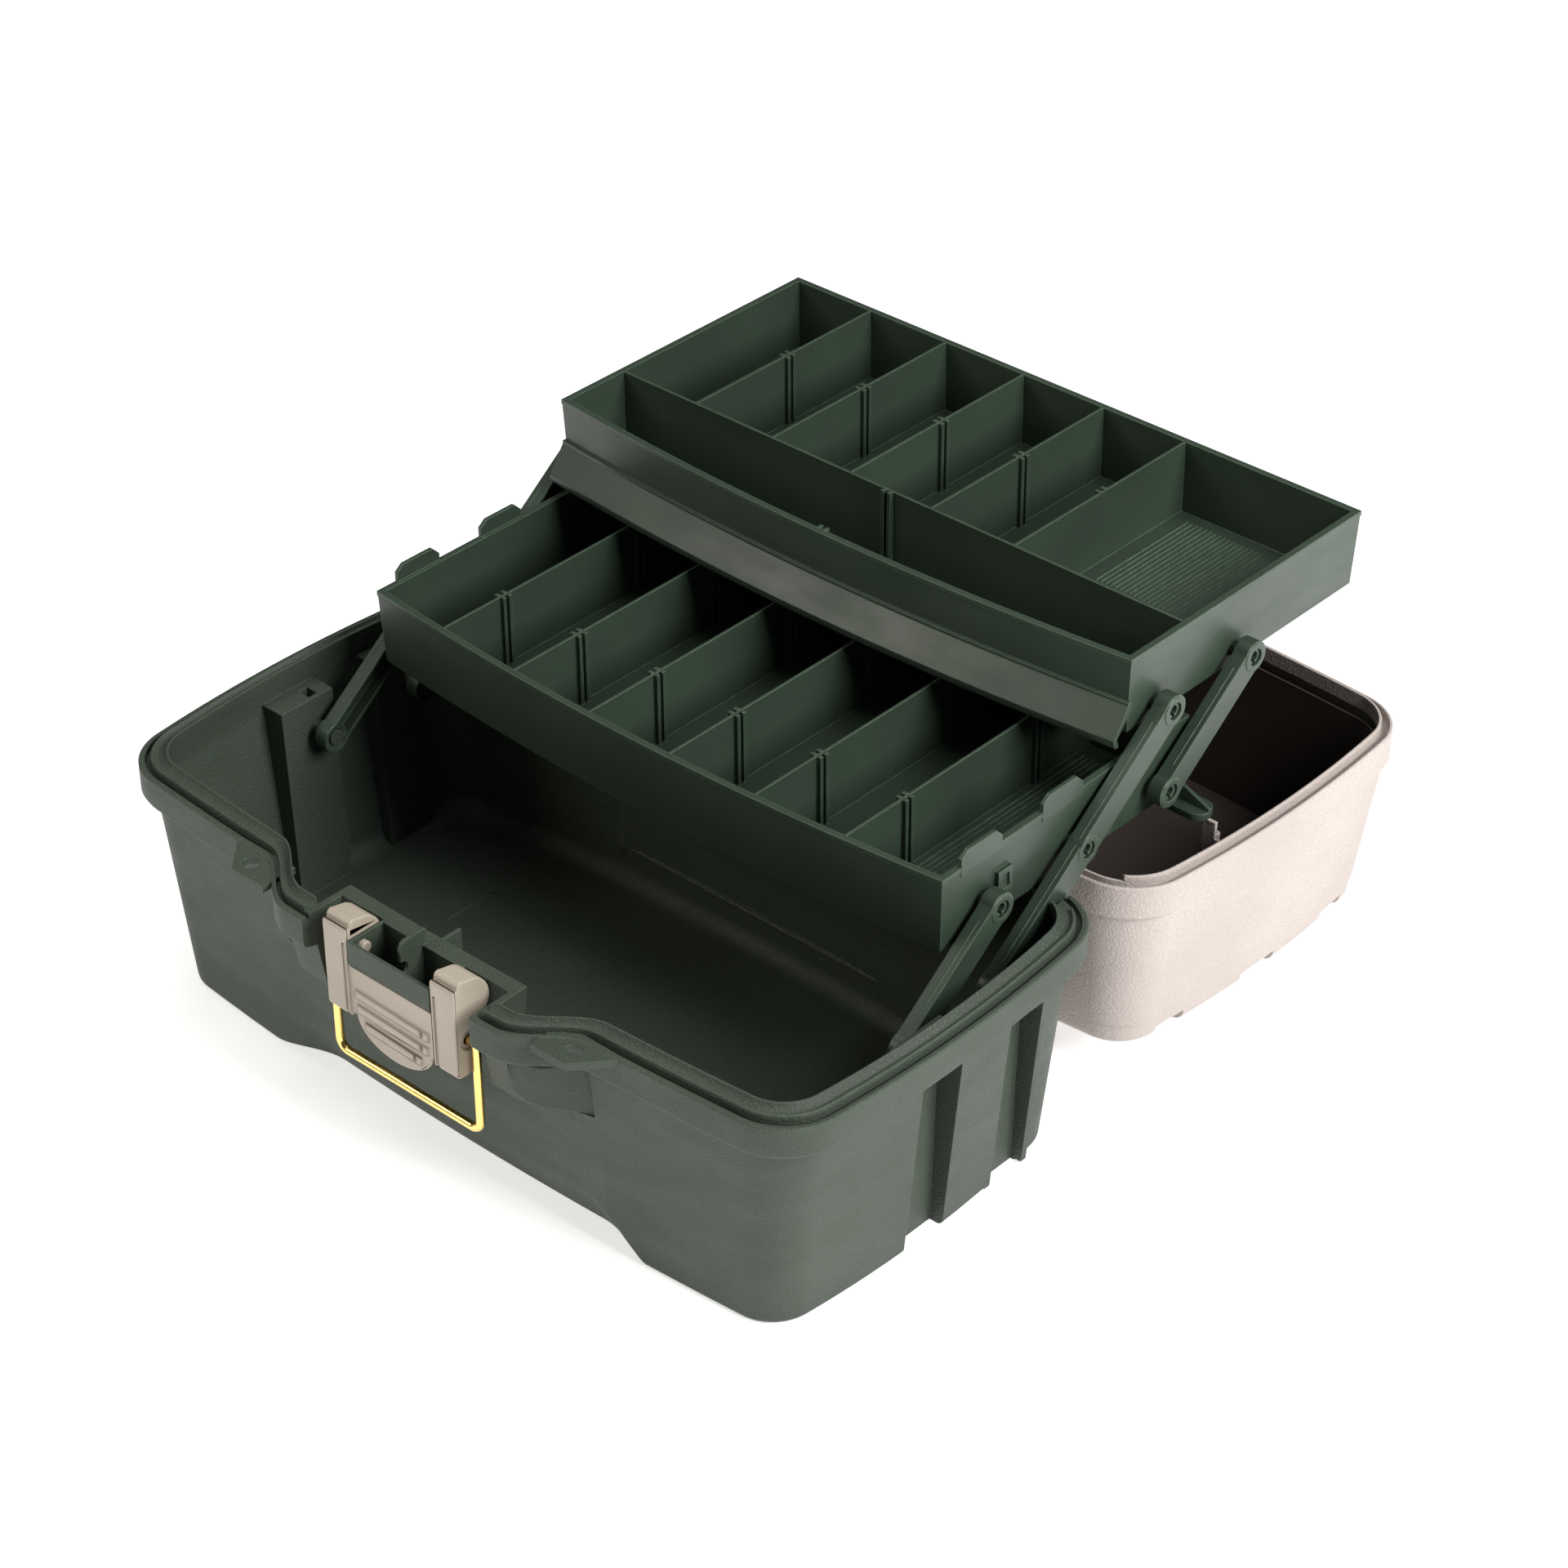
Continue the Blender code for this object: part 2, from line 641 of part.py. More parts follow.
def build_latch(root, material):
    gap = CELL_X + 0.5 * MM
    y, z = LATCH_PIVOT
    lower = [(22.5 * math.cos(a) * MM, (79 - 14 * math.sin(a)) * MM) for a in spread(0, math.pi, 8)]
    plate_top = 101.6 * MM
    front_y = LATCH_FRONT_Y + 0.2 * MM
    plate = prism_y([(-gap - 1 * MM, plate_top), (-gap - 1 * MM, 79 * MM)] + lower[::-1]
                    + [(gap + 1 * MM, 79 * MM), (gap + 1 * MM, plate_top)], front_y, front_y + 2.4 * MM)
    edge = [(front_y, plate_top - 1 * MM), (front_y + 2.4 * MM, plate_top - 1 * MM),
            (front_y + 2.4 * MM, plate_top), (front_y, plate_top + 2.2 * MM)]
    latch = object_from(plate, "latch", PARTS)
    join(latch, prism_x(edge, -gap - 0.9 * MM, gap + 0.9 * MM), "plate_edge")
    join(latch, mirrored_x(prism_x(lobe_outline(), gap, LATCH_X)), "lobes")
    stubs = mirrored_x(rod_x(CELL_X - 4 * MM, gap + 2 * MM, y, z, 2.9 * MM, 16))
    join(latch, stubs, "pivot_stubs")
    bail_y, bail_z = BAIL_PIVOT
    holes = mirrored_x(rod_x(LATCH_X - 5 * MM, LATCH_X + OVER, bail_y, bail_z, BAIL_WIRE + 0.4 * MM, 16))
    cut(latch, holes, "bail_holes")
    pivot = empty_at("latch_pivot", (0, y, z), root)
    return finish_piece(shifted(latch, (0, y, z)), material, pivot), pivot


def build_bail(latch_pivot, material):
    """A wire loop whose ends turn in to the latch."""
    y, z = BAIL_PIVOT
    bend = 4 * MM
    path = [(LATCH_X - 3.6 * MM, z), (BAIL_X - bend * 0.4, z), (BAIL_X, z - bend * 0.5)]
    path += [(BAIL_X, BAIL_LOW_Z + bend), (BAIL_X - bend * 0.3, BAIL_LOW_Z + bend * 0.3)]
    path += [(BAIL_X - bend, BAIL_LOW_Z)]
    path += [(-x, height) for x, height in path[::-1]]
    curve = bpy.data.curves.new("bail", "CURVE")
    curve.dimensions = "3D"
    curve.bevel_depth = BAIL_WIRE
    curve.bevel_resolution = 2
    curve.use_fill_caps = True
    spline = curve.splines.new("POLY")
    spline.points.add(len(path) - 1)
    for point, (x, height) in zip(spline.points, path):
        point.co = (x, 0, height - z, 1)
    bail = bpy.data.objects.new("bail", curve)
    PARTS.objects.link(bail)
    bail.location = (0, y - LATCH_PIVOT[0], z - LATCH_PIVOT[1])
    return finish_piece(bail, material, latch_pivot)


# ---- arms ------------------------------------------------------------------------------------------


def arm_profile(length, end_radius, half_width):
    """A bar with round ends, its first pivot at the origin and the last at (0, length)."""
    lean = math.asin(half_width / end_radius) if half_width < end_radius else math.pi / 2
    open_side = math.pi / 2 - lean
    turns = spread(-math.pi - open_side, open_side, 9)
    low = [(end_radius * math.cos(a), end_radius * math.sin(a)) for a in turns]
    return low + [(-x, length - y) for x, y in low]


def build_arm(name, side, foot, pivots, parent, material):
    """A channel with its web outside, standing along +Z from the foot before it leans to the open angle."""
    length = LINK * (pivots - 1)
    web = 1.8 * MM
    wall = 1.5 * MM
    outline = arm_profile(length, ARM_END_RADIUS, ARM_HALF_WIDTH)
    inside = arm_profile(length, ARM_END_RADIUS - wall, ARM_HALF_WIDTH - wall)
    arm = object_from(prism_x(outline, ARM_INNER_X, ARM_OUTER_X), name, PARTS)
    cut(arm, prism_x(inside, ARM_INNER_X - OVER, ARM_OUTER_X - web), f"{name}_hollow")
    for number in range(pivots):
        boss = rod_x(ARM_INNER_X + 1.5 * MM, ARM_OUTER_X, 0, LINK * number, PIN_HOLE_RADIUS + 1.5 * MM)
        join(arm, boss, f"{name}_boss_{number}")
    for number in range(pivots):
        hole = rod_x(ARM_INNER_X - OVER, ARM_OUTER_X + OVER, 0, LINK * number, PIN_HOLE_RADIUS)
        cut(arm, hole, f"{name}_hole_{number}")
    lean = Matrix.Rotation(OPEN_ANGLE - math.pi / 2, 4, "X")
    flip = Matrix.Diagonal((side, 1, 1, 1))
    for solid in [arm] + [modifier.object for modifier in arm.modifiers]:
        solid.data.transform(flip @ lean)
        if side < 0:
            solid.data.flip_normals()
    pivot = empty_at(f"{name}_pivot", (0, *foot), parent)
    return finish_piece(arm, material, pivot), pivot


# ---- trays -----------------------------------------------------------------------------------------


def tray_front(x, front_y, inset=0.0):
    """The bowed front line of a tray."""
    half = TRAY_HALF_LENGTH
    return front_y + inset - TRAY_BOW * (1 - (x / half) ** 2)


def tray_ring(z, front_y, rear_y, inset):
    half = TRAY_HALF_LENGTH - inset
    front = [(x, tray_front(x, front_y, inset), z) for x in spread(-half, half, 12)]
    return front + [(half, rear_y - inset, z), (-half, rear_y - inset, z)]


def bay(x_low, x_high, y_low, y_high, z_low, z_high, front_y=None):
    """The space of one bay. Its front follows the bowed front wall when front_y is given."""
    xs = spread(x_low, x_high, max(2, round((x_high - x_low) / (28 * MM))))
    if front_y is None:
        front = [(x_low, y_low), (x_high, y_low)]
    else:
        front = [(x, tray_front(x, front_y, TRAY_DRAFT + TRAY_WALL)) for x in xs]
    return prism_z(front + [(x_high, y_high), (x_low, y_high)], z_low, z_high)


def bay_edges(dividers):
    wall = TRAY_HALF_LENGTH - TRAY_DRAFT - TRAY_WALL
    lows = [-wall] + [x + DIVIDER / 2 for x in dividers]
    highs = [x - DIVIDER / 2 for x in dividers] + [wall]
    return list(zip(lows, highs))


def tray_shell(name, front_y, rim_z):
    rear_y = front_y + TRAY_DEPTH
    low_z = rim_z - TRAY_HEIGHT
    lip_z = rim_z - 2.4 * MM
    steps = ((low_z, TRAY_DRAFT), (lip_z, 0.3 * MM), (lip_z, 0.0), (rim_z, 0.0))
    rings = [tray_ring(z, front_y, rear_y, inset) for z, inset in steps]
    return object_from(loft(rings), name, PARTS)


def add_tray_pins(tray, places):
    for number, (y, z) in enumerate(places):
        wall = TRAY_HALF_LENGTH - TRAY_DRAFT - TRAY_WALL + 0.3 * MM
        pin = rod_x(wall, PIN_END_X, y, z, PIN_RADIUS)
        join(tray, mirrored_x(pin), f"{tray.name}_pin_{number}")


def build_lower_tray(parent, pivot, material):
    front_y, rim_z = LOWER_TRAY_FRONT_Y, LOWER_TRAY_RIM_Z
    rear_y = front_y + TRAY_DEPTH
    floor_z = rim_z - TRAY_HEIGHT + TRAY_FLOOR
    tray = tray_shell("lower_tray", front_y, rim_z)
    for number, y in enumerate((41 * MM, 93.5 * MM)):
        outline = [
            (y, rim_z - 4 * MM), (y, rim_z + 4.6 * MM), (y + 4 * MM, rim_z + 7.6 * MM),
            (y + 22 * MM, rim_z + 7.6 * MM), (y + 26 * MM, rim_z + 3.6 * MM), (y + 26 * MM, rim_z - 4 * MM),
        ]
        tab = prism_x(outline, TRAY_HALF_LENGTH - TRAY_WALL - 0.2 * MM, TRAY_HALF_LENGTH + 0.3 * MM)
        join(tray, mirrored_x(tab), f"stacking_tab_{number}")
    for number, (y, z) in enumerate(((64 * MM, 143 * MM), (131 * MM, 136 * MM))):
        hook = box((TRAY_HALF_LENGTH - 3 * MM, y, z - 12 * MM), (ARM_INNER_X - 0.6 * MM, y + 9 * MM, z))
        join(tray, mirrored_x(hook), f"arm_hook_{number}")
    wall_x = TRAY_HALF_LENGTH - TRAY_DRAFT - 0.6 * MM
    foot_z = rim_z - TRAY_HEIGHT - 2.2 * MM
    web = [(wall_x, foot_z), (EAR_END_X, foot_z), (EAR_END_X, foot_z + 5 * MM), (wall_x, foot_z + 15 * MM)]
    join(tray, mirrored_x(prism_y(web, EAR_Y - 0.8 * MM, EAR_Y + 0.8 * MM)), "ear_web")
    reach = EAR_HALF_WIDTH
    turns = spread(-math.pi / 2, math.pi / 2, 6)
    end = [(EAR_END_X - reach + reach * math.cos(a), EAR_Y + reach * math.sin(a)) for a in turns]
    foot = prism_z([(wall_x, EAR_Y - reach)] + end + [(wall_x, EAR_Y + reach)], foot_z, foot_z + 3.4 * MM)
    join(tray, mirrored_x(foot), "ear_foot")
    add_tray_pins(tray, (FRONT_HEAD, LONG_MIDDLE, UPPER_FOOT))
    bays = [bay(low, high, 0, rear_y - TRAY_DRAFT - TRAY_WALL, floor_z, rim_z + 2 * OVER, front_y)
            for low, high in bay_edges(LOWER_DIVIDERS)]
    cut(tray, merged(*bays), "lower_bays")
    return place_tray(tray, parent, pivot, material)


def add_skirt(tray, front_y, rim_z):
    """The flared apron along the front of the upper tray."""
    crease_z = rim_z - SKIRT_CREASE_DROP
    lip_z = rim_z - SKIRT_DROP
    thick = 1.6 * MM
    inner = thick - SKIRT_FLARE
    section = [
        (2 * MM, crease_z + 1.5 * MM), (-0.3 * MM, crease_z + 1.5 * MM), (-0.3 * MM, crease_z),
        (-SKIRT_FLARE, lip_z + 4 * MM), (-SKIRT_FLARE, lip_z), (inner, lip_z), (inner, lip_z + 3.4 * MM),
        (2 * MM, crease_z - 3 * MM),
    ]
    half = TRAY_HALF_LENGTH - 0.2 * MM
    rings = [[(x, tray_front(x, front_y) + y, z) for y, z in section] for x in spread(-half, half, 12)]
    join(tray, loft(rings), "skirt")


def build_upper_tray(parent, pivot, material):
    front_y, rim_z = UPPER_TRAY_FRONT_Y, UPPER_TRAY_RIM_Z
    rear_y = front_y + TRAY_DEPTH
    floor_z = rim_z - TRAY_HEIGHT + TRAY_FLOOR
    tray = tray_shell("upper_tray", front_y, rim_z)
    add_skirt(tray, front_y, rim_z)
    add_tray_pins(tray, (LONG_HEAD, UPPER_HEAD))
    wall = TRAY_HALF_LENGTH - TRAY_DRAFT - TRAY_WALL
    divider_front = UPPER_LONG_DIVIDER_Y - DIVIDER / 2
    divider_rear = UPPER_LONG_DIVIDER_Y + DIVIDER / 2
    bays = [bay(-wall, wall, 0, divider_front, floor_z, rim_z + OVER, front_y)]
    bays += [bay(low, high, divider_rear, rear_y - TRAY_DRAFT - TRAY_WALL, floor_z, rim_z + OVER)
             for low, high in bay_edges(UPPER_DIVIDERS)]
    cut(tray, merged(*bays), "upper_bays")
    return place_tray(tray, parent, pivot, material)


def place_tray(tray, parent, pivot, material):
    foot = parent.matrix_world.translation
    tray.location = (0, pivot[0] - foot.y, pivot[1] - foot.z)
    return finish_tray(shifted(tray, (0, *pivot)), material, parent)


def finish_tray(tray, material, parent):
    """The Boolean helpers of a tray go where the tray goes."""
    finish_piece(tray, material, parent)
    for modifier in tray.modifiers:
        modifier.object.location = tray.location
    return tray


# ---- lid -------------------------------------------------------------------------------------------


def lid_ring(z, inset, bump=0.0, hollow=False, radius=None):
    return ring(LID_RIM_Z + z, inset, bump, hollow, radius, flip=True, centre_y=LID_CENTRE_Y)


def lid_wall_inset(z):
    """Inset of the outer wall at z under the rim plane, between the band and the top."""
    share = (-z - LID_BAND) / (LID_HEIGHT - LID_BAND)
    low, top = 2.4 * MM, LID_TOP_INSET
    return low + (top - low) * share


def lid_rings():
    top = lid_wall_inset(-LID_HEIGHT)
    near_top = lid_wall_inset(-LID_HEIGHT + 5 * MM)
    deep = lid_wall_inset(-45 * MM)
    under = lid_wall_inset(-LID_BAND - 1.5 * MM)
    lip, ridge = 2.4 * MM, 4.2 * MM
    return [
        lid_ring(-LID_HEIGHT, (top + 4.5 * MM, top + 4.5 * MM)),
        lid_ring(-LID_HEIGHT + 1.6 * MM, (top + 1.3 * MM, top + 1.3 * MM)),
        lid_ring(-LID_HEIGHT + 5 * MM, (near_top, near_top)),
        lid_ring(-45 * MM, (deep, deep)),
        lid_ring(-LID_BAND - 1.5 * MM, (under, under), 0.8 * BUMP),
        lid_ring(-LID_BAND, (0.5 * MM, 0.5 * MM), BUMP),
        lid_ring(-LID_BAND + 1.5 * MM, (0, 0), BUMP),
        lid_ring(0, (0, 0), BUMP),
        lid_ring(0, (lip, lip), BUMP),
        lid_ring(-2.5 * MM, (lip, lip), BUMP),
        lid_ring(-2.5 * MM, (ridge, ridge), BUMP),
        lid_ring(2.8 * MM, (ridge, ridge), BUMP),
    ]


def lid_hollow():
    def inner(z):
        inset = lid_wall_inset(z) + LID_WALL
        return (inset, inset)

    mouth = (5.8 * MM, 5.8 * MM)
    band = (2.6 * MM, 2.6 * MM)
    return loft([
        lid_ring(-LID_HEIGHT + LID_WALL, tuple(v + 2.6 * MM for v in inner(-LID_HEIGHT)), hollow=True),
        lid_ring(-LID_HEIGHT + 5 * MM, inner(-LID_HEIGHT + 5 * MM), hollow=True),
        lid_ring(-47 * MM, inner(-47 * MM), hollow=True),
        lid_ring(-LID_BAND - 3 * MM, inner(-LID_BAND - 3 * MM), 0.8 * BUMP, hollow=True),
        lid_ring(-LID_BAND + 1 * MM, band, BUMP, hollow=True),
        lid_ring(-7 * MM, band, BUMP, hollow=True),
        lid_ring(-4.5 * MM, mouth, BUMP, hollow=True),
        lid_ring(2.8 * MM + OVER, mouth, BUMP, hollow=True),
    ])


def on_top(low, high, depth, above=0.0):
    """A block on the lid's top wall: plan corners about the lid's middle, and its depth into the lid."""
    near = (low[0], LID_CENTRE_Y + low[1], LID_TOP_Z - above)
    return box(near, (high[0], LID_CENTRE_Y + high[1], LID_TOP_Z + depth))


def add_compartments(lid):
    depth = COMPARTMENT_DEPTH + LID_WALL
    half_y = COVER_HALF_Y + 3 * MM
    block = on_top((COVER_X[0] - 3 * MM, -half_y), (COVER_X[1] - 3 * MM, half_y), depth)
    bmesh.ops.translate(block, verts=block.verts, vec=(0, 0, 0.4 * MM))
    join(lid, mirrored_x(block), "compartment_block")
    half_y = COVER_HALF_Y + 6 * MM
    bead = on_top((COVER_X[1] - 3.4 * MM, -half_y), (COVER_HINGE_X + 3.6 * MM, half_y), depth)
    bmesh.ops.translate(bead, verts=bead.verts, vec=(0, 0, 0.6 * MM))
    join(lid, mirrored_x(bead), "cover_hinge_bead")


def cut_compartments(lid):
    half_y = COVER_HALF_Y - 2.5 * MM
    inner = on_top((COVER_X[0] + 2 * MM, -half_y), (COVER_X[1] - 6 * MM, half_y), COMPARTMENT_DEPTH, OVER)
    cut(lid, mirrored_x(inner), "compartment")
    # The cover's hinged edge swings outwards a little as it lifts.
    half_y = COVER_HALF_Y + 0.5 * MM
    seat = on_top((COVER_X[0], -half_y), (COVER_X[1] + 1.4 * MM, half_y), COVER_THICK + 0.4 * MM, OVER)
    cut(lid, mirrored_x(seat), "cover_seat")
    for number, (y, width) in enumerate(COVER_LUGS):
        reach = width / 2 + 1.2 * MM
        notch = on_top((COVER_X[1] - 2.6 * MM, y - reach), (HALF_LENGTH, y + reach), COMPARTMENT_DEPTH, OVER)
        cut(lid, mirrored_x(notch), f"lug_notch_{number}")
    low_y, high_y = LID_CENTRE_Y - 72 * MM, LID_CENTRE_Y + 72 * MM
    hole = rod_y(COVER_HINGE_X, low_y, high_y, COVER_HINGE_Z, COVER_PIN_RADIUS + SLIP, 12)
    cut(lid, mirrored_x(hole), "cover_pin_hole")


def add_handle_well(lid):
    block = on_top((-WELL_X - 3.2 * MM, -WELL_HALF_Y - 2 * MM), (WELL_X + 3.2 * MM, WELL_HALF_Y + 2 * MM),
                   COMPARTMENT_DEPTH + LID_WALL)
    bmesh.ops.translate(block, verts=block.verts, vec=(0, 0, 0.3 * MM))
    join(lid, block, "handle_well_block")


def cut_handle_well(lid):
    well = on_top((-WELL_X, -WELL_HALF_Y), (WELL_X, WELL_HALF_Y), COMPARTMENT_DEPTH - 0.2 * MM, OVER)
    cut(lid, well, "handle_well")
    y = LID_CENTRE_Y + HANDLE_PIVOT_Y
    hole = rod_x(WELL_X - OVER, WELL_X + OVER, y, HANDLE_PIVOT_Z, HANDLE_PIN_RADIUS + SLIP, 12)
    cut(lid, mirrored_x(hole), "handle_pin_hole")


def rest_outline(grow, top):
    """Front view of a tray rest as (x, z): a post joined to the lid's end wall by a lower web."""
    def wall_x(z):
        return HALF_LENGTH - lid_wall_inset(z) - 1.1 * MM

    low_x, high_x = REST_X[0] - grow, REST_X[1] + grow
    web_z, low_z = REST_WEB_Z + grow, REST_LOW_Z - grow
    end = [(wall_x(web_z), web_z), (wall_x(low_z), low_z)]
    return [(low_x, low_z), (low_x, top), (high_x, top), (high_x, web_z)] + end


def add_tray_rests(lid):
    """Posts that stand beside the lower tray's ears when the trays are out."""
    post = prism_y(rest_outline(0, REST_TOP_Z), REST_Y - 0.9 * MM, REST_Y + 0.9 * MM)
    join(lid, mirrored_x(post), "tray_rest")
    round_post = rod_z(REST_X[1] - 1 * MM, REST_Y + 1.6 * MM, REST_LOW_Z, REST_WEB_Z + 2 * MM, 1.9 * MM)
    join(lid, mirrored_x(round_post), "tray_rest_round")


def add_pocket_back(lid):
    """The wall between the lid's inside and the latch pocket in its front."""
    far = LID_CENTRE_Y - POCKET_Y
    low, high = LID_RIM_Z - 48 * MM, LID_RIM_Z + 2.8 * MM
    back = box((-POCKET_X - TUB_WALL, far - 2.2 * MM, low), (POCKET_X + TUB_WALL, far + 6 * MM, high))
    join(lid, back, "pocket_back")


def add_catch(lid):
    """The hooked ledge on the lid's front that the bail is drawn over."""
    wall_y = LID_CENTRE_Y - POCKET_Y - 1 * MM
    bar_y = LID_CENTRE_Y - BAIL_PIVOT[0]
    top = CATCH_TOP_Z
    outline = [
        (wall_y, top + 3 * MM), (bar_y + 4.6 * MM, top + 3 * MM), (bar_y + 4.6 * MM, top - 3 * MM),
        (bar_y + 2.8 * MM, top - 3 * MM), (bar_y + 2.8 * MM, top), (wall_y, top),
    ]
    join(lid, prism_x(outline, -20 * MM, 20 * MM), "catch")


def cut_lid_pocket(lid):
    far = LID_CENTRE_Y - POCKET_Y
    pocket = box((-POCKET_X, far, LID_RIM_Z - 55 * MM), (POCKET_X, far + 50 * MM, LID_RIM_Z + 3 * OVER))
    cut(lid, pocket, "lid_pocket")
    side = POCKET_X + TUB_WALL
    ridge = box((-side, far - 12 * MM, LID_RIM_Z), (side, far + 50 * MM, LID_RIM_Z + OVER))
    cut(lid, ridge, "lid_pocket_ridge")
    rear_ridge = box((-186 * MM, -2 * MM, LID_RIM_Z), (186 * MM, 18 * MM, LID_RIM_Z + OVER))
    cut(lid, rear_ridge, "rear_ridge")


def build_lid(parent, material):
    lid = object_from(loft(lid_rings()), "lid_shell", PARTS)
    cut(lid, lid_hollow(), "lid_hollow")
    add_compartments(lid)
    add_handle_well(lid)
    cut_compartments(lid)
    cut_handle_well(lid)
    add_pocket_back(lid)
    add_tray_rests(lid)
    cut_lid_pocket(lid)
    add_catch(lid)
    add_knuckles(lid, 0, 0, on_lid=True)
    cut_knuckle_room(lid, 0, 0, on_lid=True)
    return finish_piece(lid, material, parent)


def liner_rings(grow):
    """Rings of the liner's outside, or of its inside when grow is its thickness. It passes behind the
    latch pocket and leaves the swelling of the lid's front empty."""
    def inner(z):
        inset = lid_wall_inset(z) + LID_WALL + SLIP
        return (inset + grow, max(inset, LINER_FRONT_INSET) + grow)

    rim = (2.6 * MM + SLIP + grow, LINER_FRONT_INSET + grow)
    floor = LINER_FLOOR_Z + grow
    top = -7.6 * MM if grow == 0 else -2 * MM
    rings = [lid_ring(z, inner(z), hollow=True) for z in (floor, -47 * MM, -LID_BAND - 3 * MM)]
    return rings + [lid_ring(z, rim, hollow=True) for z in (-LID_BAND + 1.3 * MM, top)]


def build_liner(parent, material):
    """The dark inner tub of the lid. Its floor closes the compartments in the lid's top."""
    liner = object_from(loft(liner_rings(0)), "lid_liner", PARTS)
    cut(liner, loft(liner_rings(LINER)), "liner_hollow")
    slot = prism_y(rest_outline(0.6 * MM, 4 * OVER), REST_Y - 1.4 * MM, REST_Y + 4.2 * MM)
    cut(liner, mirrored_x(slot), "liner_slot")
    return finish_piece(liner, material, parent)


def build_cover(name, side, parent, material):
    low_z = LID_TOP_Z
    plate = on_top((COVER_X[0] + SLIP, -COVER_HALF_Y), (COVER_X[1], COVER_HALF_Y), COVER_THICK)
    cover = object_from(plate, name, PARTS)
    for number, (y, width) in enumerate(COVER_LUGS):
        low_y = LID_CENTRE_Y + y - width / 2
        high_y = low_y + width
        strap = box((COVER_X[1] - 2 * MM, low_y, low_z), (COVER_HINGE_X, high_y, low_z + COVER_THICK))
        join(cover, strap, f"{name}_strap_{number}")
        join(cover, rod_y(COVER_HINGE_X, low_y, high_y, COVER_HINGE_Z, LUG_RADIUS), f"{name}_lug_{number}")
    low_y, high_y = LID_CENTRE_Y - 75 * MM, LID_CENTRE_Y + 75 * MM
    hole = rod_y(COVER_HINGE_X, low_y, high_y, COVER_HINGE_Z, COVER_PIN_RADIUS + SLIP, 12)
    cut(cover, hole, f"{name}_pin_hole")
    tab = box((COVER_X[0] + SLIP, LID_CENTRE_Y - 9 * MM, low_z - 0.9 * MM),
              (COVER_X[0] + 5 * MM, LID_CENTRE_Y + 9 * MM, low_z + 0.5 * MM))
    join(cover, tab, f"{name}_finger_tab")
    solids = [cover] + [modifier.object for modifier in cover.modifiers]
    for solid in solids:
        solid.data.transform(Matrix.Diagonal((side, 1, 1, 1)))
        if side < 0:
            solid.data.flip_normals()
    hinge = (side * COVER_HINGE_X, LID_CENTRE_Y, COVER_HINGE_Z)
    pivot = empty_at(f"{name}_pivot", hinge, parent)
    return finish_piece(shifted(cover, hinge), material, pivot)


def build_handle(parent, material):
    """A bar handle that folds into the well in the lid's top."""
    x, r = HANDLE_X, 7 * MM
    rise = HANDLE_GRIP_Y - HANDLE_PIVOT_Y
    corner = [(x - r + r * math.cos(a), rise - r + r * math.sin(a)) for a in spread(0, math.pi / 2, 4)]
    path = [(x, 0)] + corner
    path += [(-a, b) for a, b in path[::-1]]
    curve = bpy.data.curves.new("carry_handle", "CURVE")
    curve.dimensions = "3D"
    curve.bevel_depth = HANDLE_RADIUS
    curve.bevel_resolution = 2
    curve.use_fill_caps = True
    spline = curve.splines.new("POLY")
    spline.points.add(len(path) - 1)
    for point, (a, b) in zip(spline.points, path):
        point.co = (a, b, 0, 1)
    handle = mesh_from_curve(curve, "carry_handle")
    for number, side in enumerate((-1, 1)):
        ends = sorted((side * (x - 3.6 * MM), side * (x + 3.6 * MM)))
        join(handle, rod_x(*ends, 0, 0, HANDLE_RADIUS + 0.4 * MM), f"handle_boss_{number}")
    cut(handle, rod_x(-x - 2 * OVER, x + 2 * OVER, 0, 0, HANDLE_PIN_RADIUS + 0.3 * MM, 12), "handle_bore")
    pivot = empty_at("carry_handle_pivot", (0, LID_CENTRE_Y + HANDLE_PIVOT_Y, HANDLE_PIVOT_Z), parent)
    return finish_piece(handle, material, pivot)


def mesh_from_curve(curve, name):
    source = bpy.data.objects.new(name, curve)
    PARTS.objects.link(source)
    evaluated = source.evaluated_get(bpy.context.evaluated_depsgraph_get())
    mesh = bpy.data.meshes.new_from_object(evaluated)
    bpy.data.objects.remove(source)
    bm = bmesh.new()
    bm.from_mesh(mesh)
    bpy.data.meshes.remove(mesh)
    bmesh.ops.remove_doubles(bm, verts=bm.verts, dist=0.01 * MM)
    return object_from(bm, name, PARTS)


def build_pins(root, lid_frame, steel):
    """Wire pins of the lid hinge, the cover hinges and the handle."""
    for label, side in (("left", -1), ("right", 1)):
        ends = sorted((side * (HINGE_X - 17.6 * MM), side * (HINGE_X + 17.6 * MM)))
        pin = object_from(rod_x(*ends, 0, 0, HINGE_PIN_RADIUS, 16), f"lid_hinge_pin_{label}", PARTS)
        pin.location = (0, *HINGE)
        finish_piece(pin, steel, root, smooth=False)
        bar = rod_y(0, -67 * MM, 67 * MM, 0, COVER_PIN_RADIUS, 12)
        pin = object_from(bar, f"cover_hinge_pin_{label}", PARTS)
        pin.location = (side * COVER_HINGE_X, LID_CENTRE_Y, COVER_HINGE_Z)
        finish_piece(pin, steel, lid_frame)
        ends = sorted((side * (HANDLE_X - 5.2 * MM), side * (WELL_X + 1.7 * MM)))
        pin = object_from(rod_x(*ends, 0, 0, HANDLE_PIN_RADIUS, 12), f"handle_pin_{label}", PARTS)
        pin.location = (0, LID_CENTRE_Y + HANDLE_PIVOT_Y, HANDLE_PIVOT_Z)
        finish_piece(pin, steel, lid_frame)


def along_link(foot, links):
    return (foot[0] + links * LINK * math.cos(OPEN_ANGLE), foot[1] + links * LINK * math.sin(OPEN_ANGLE))


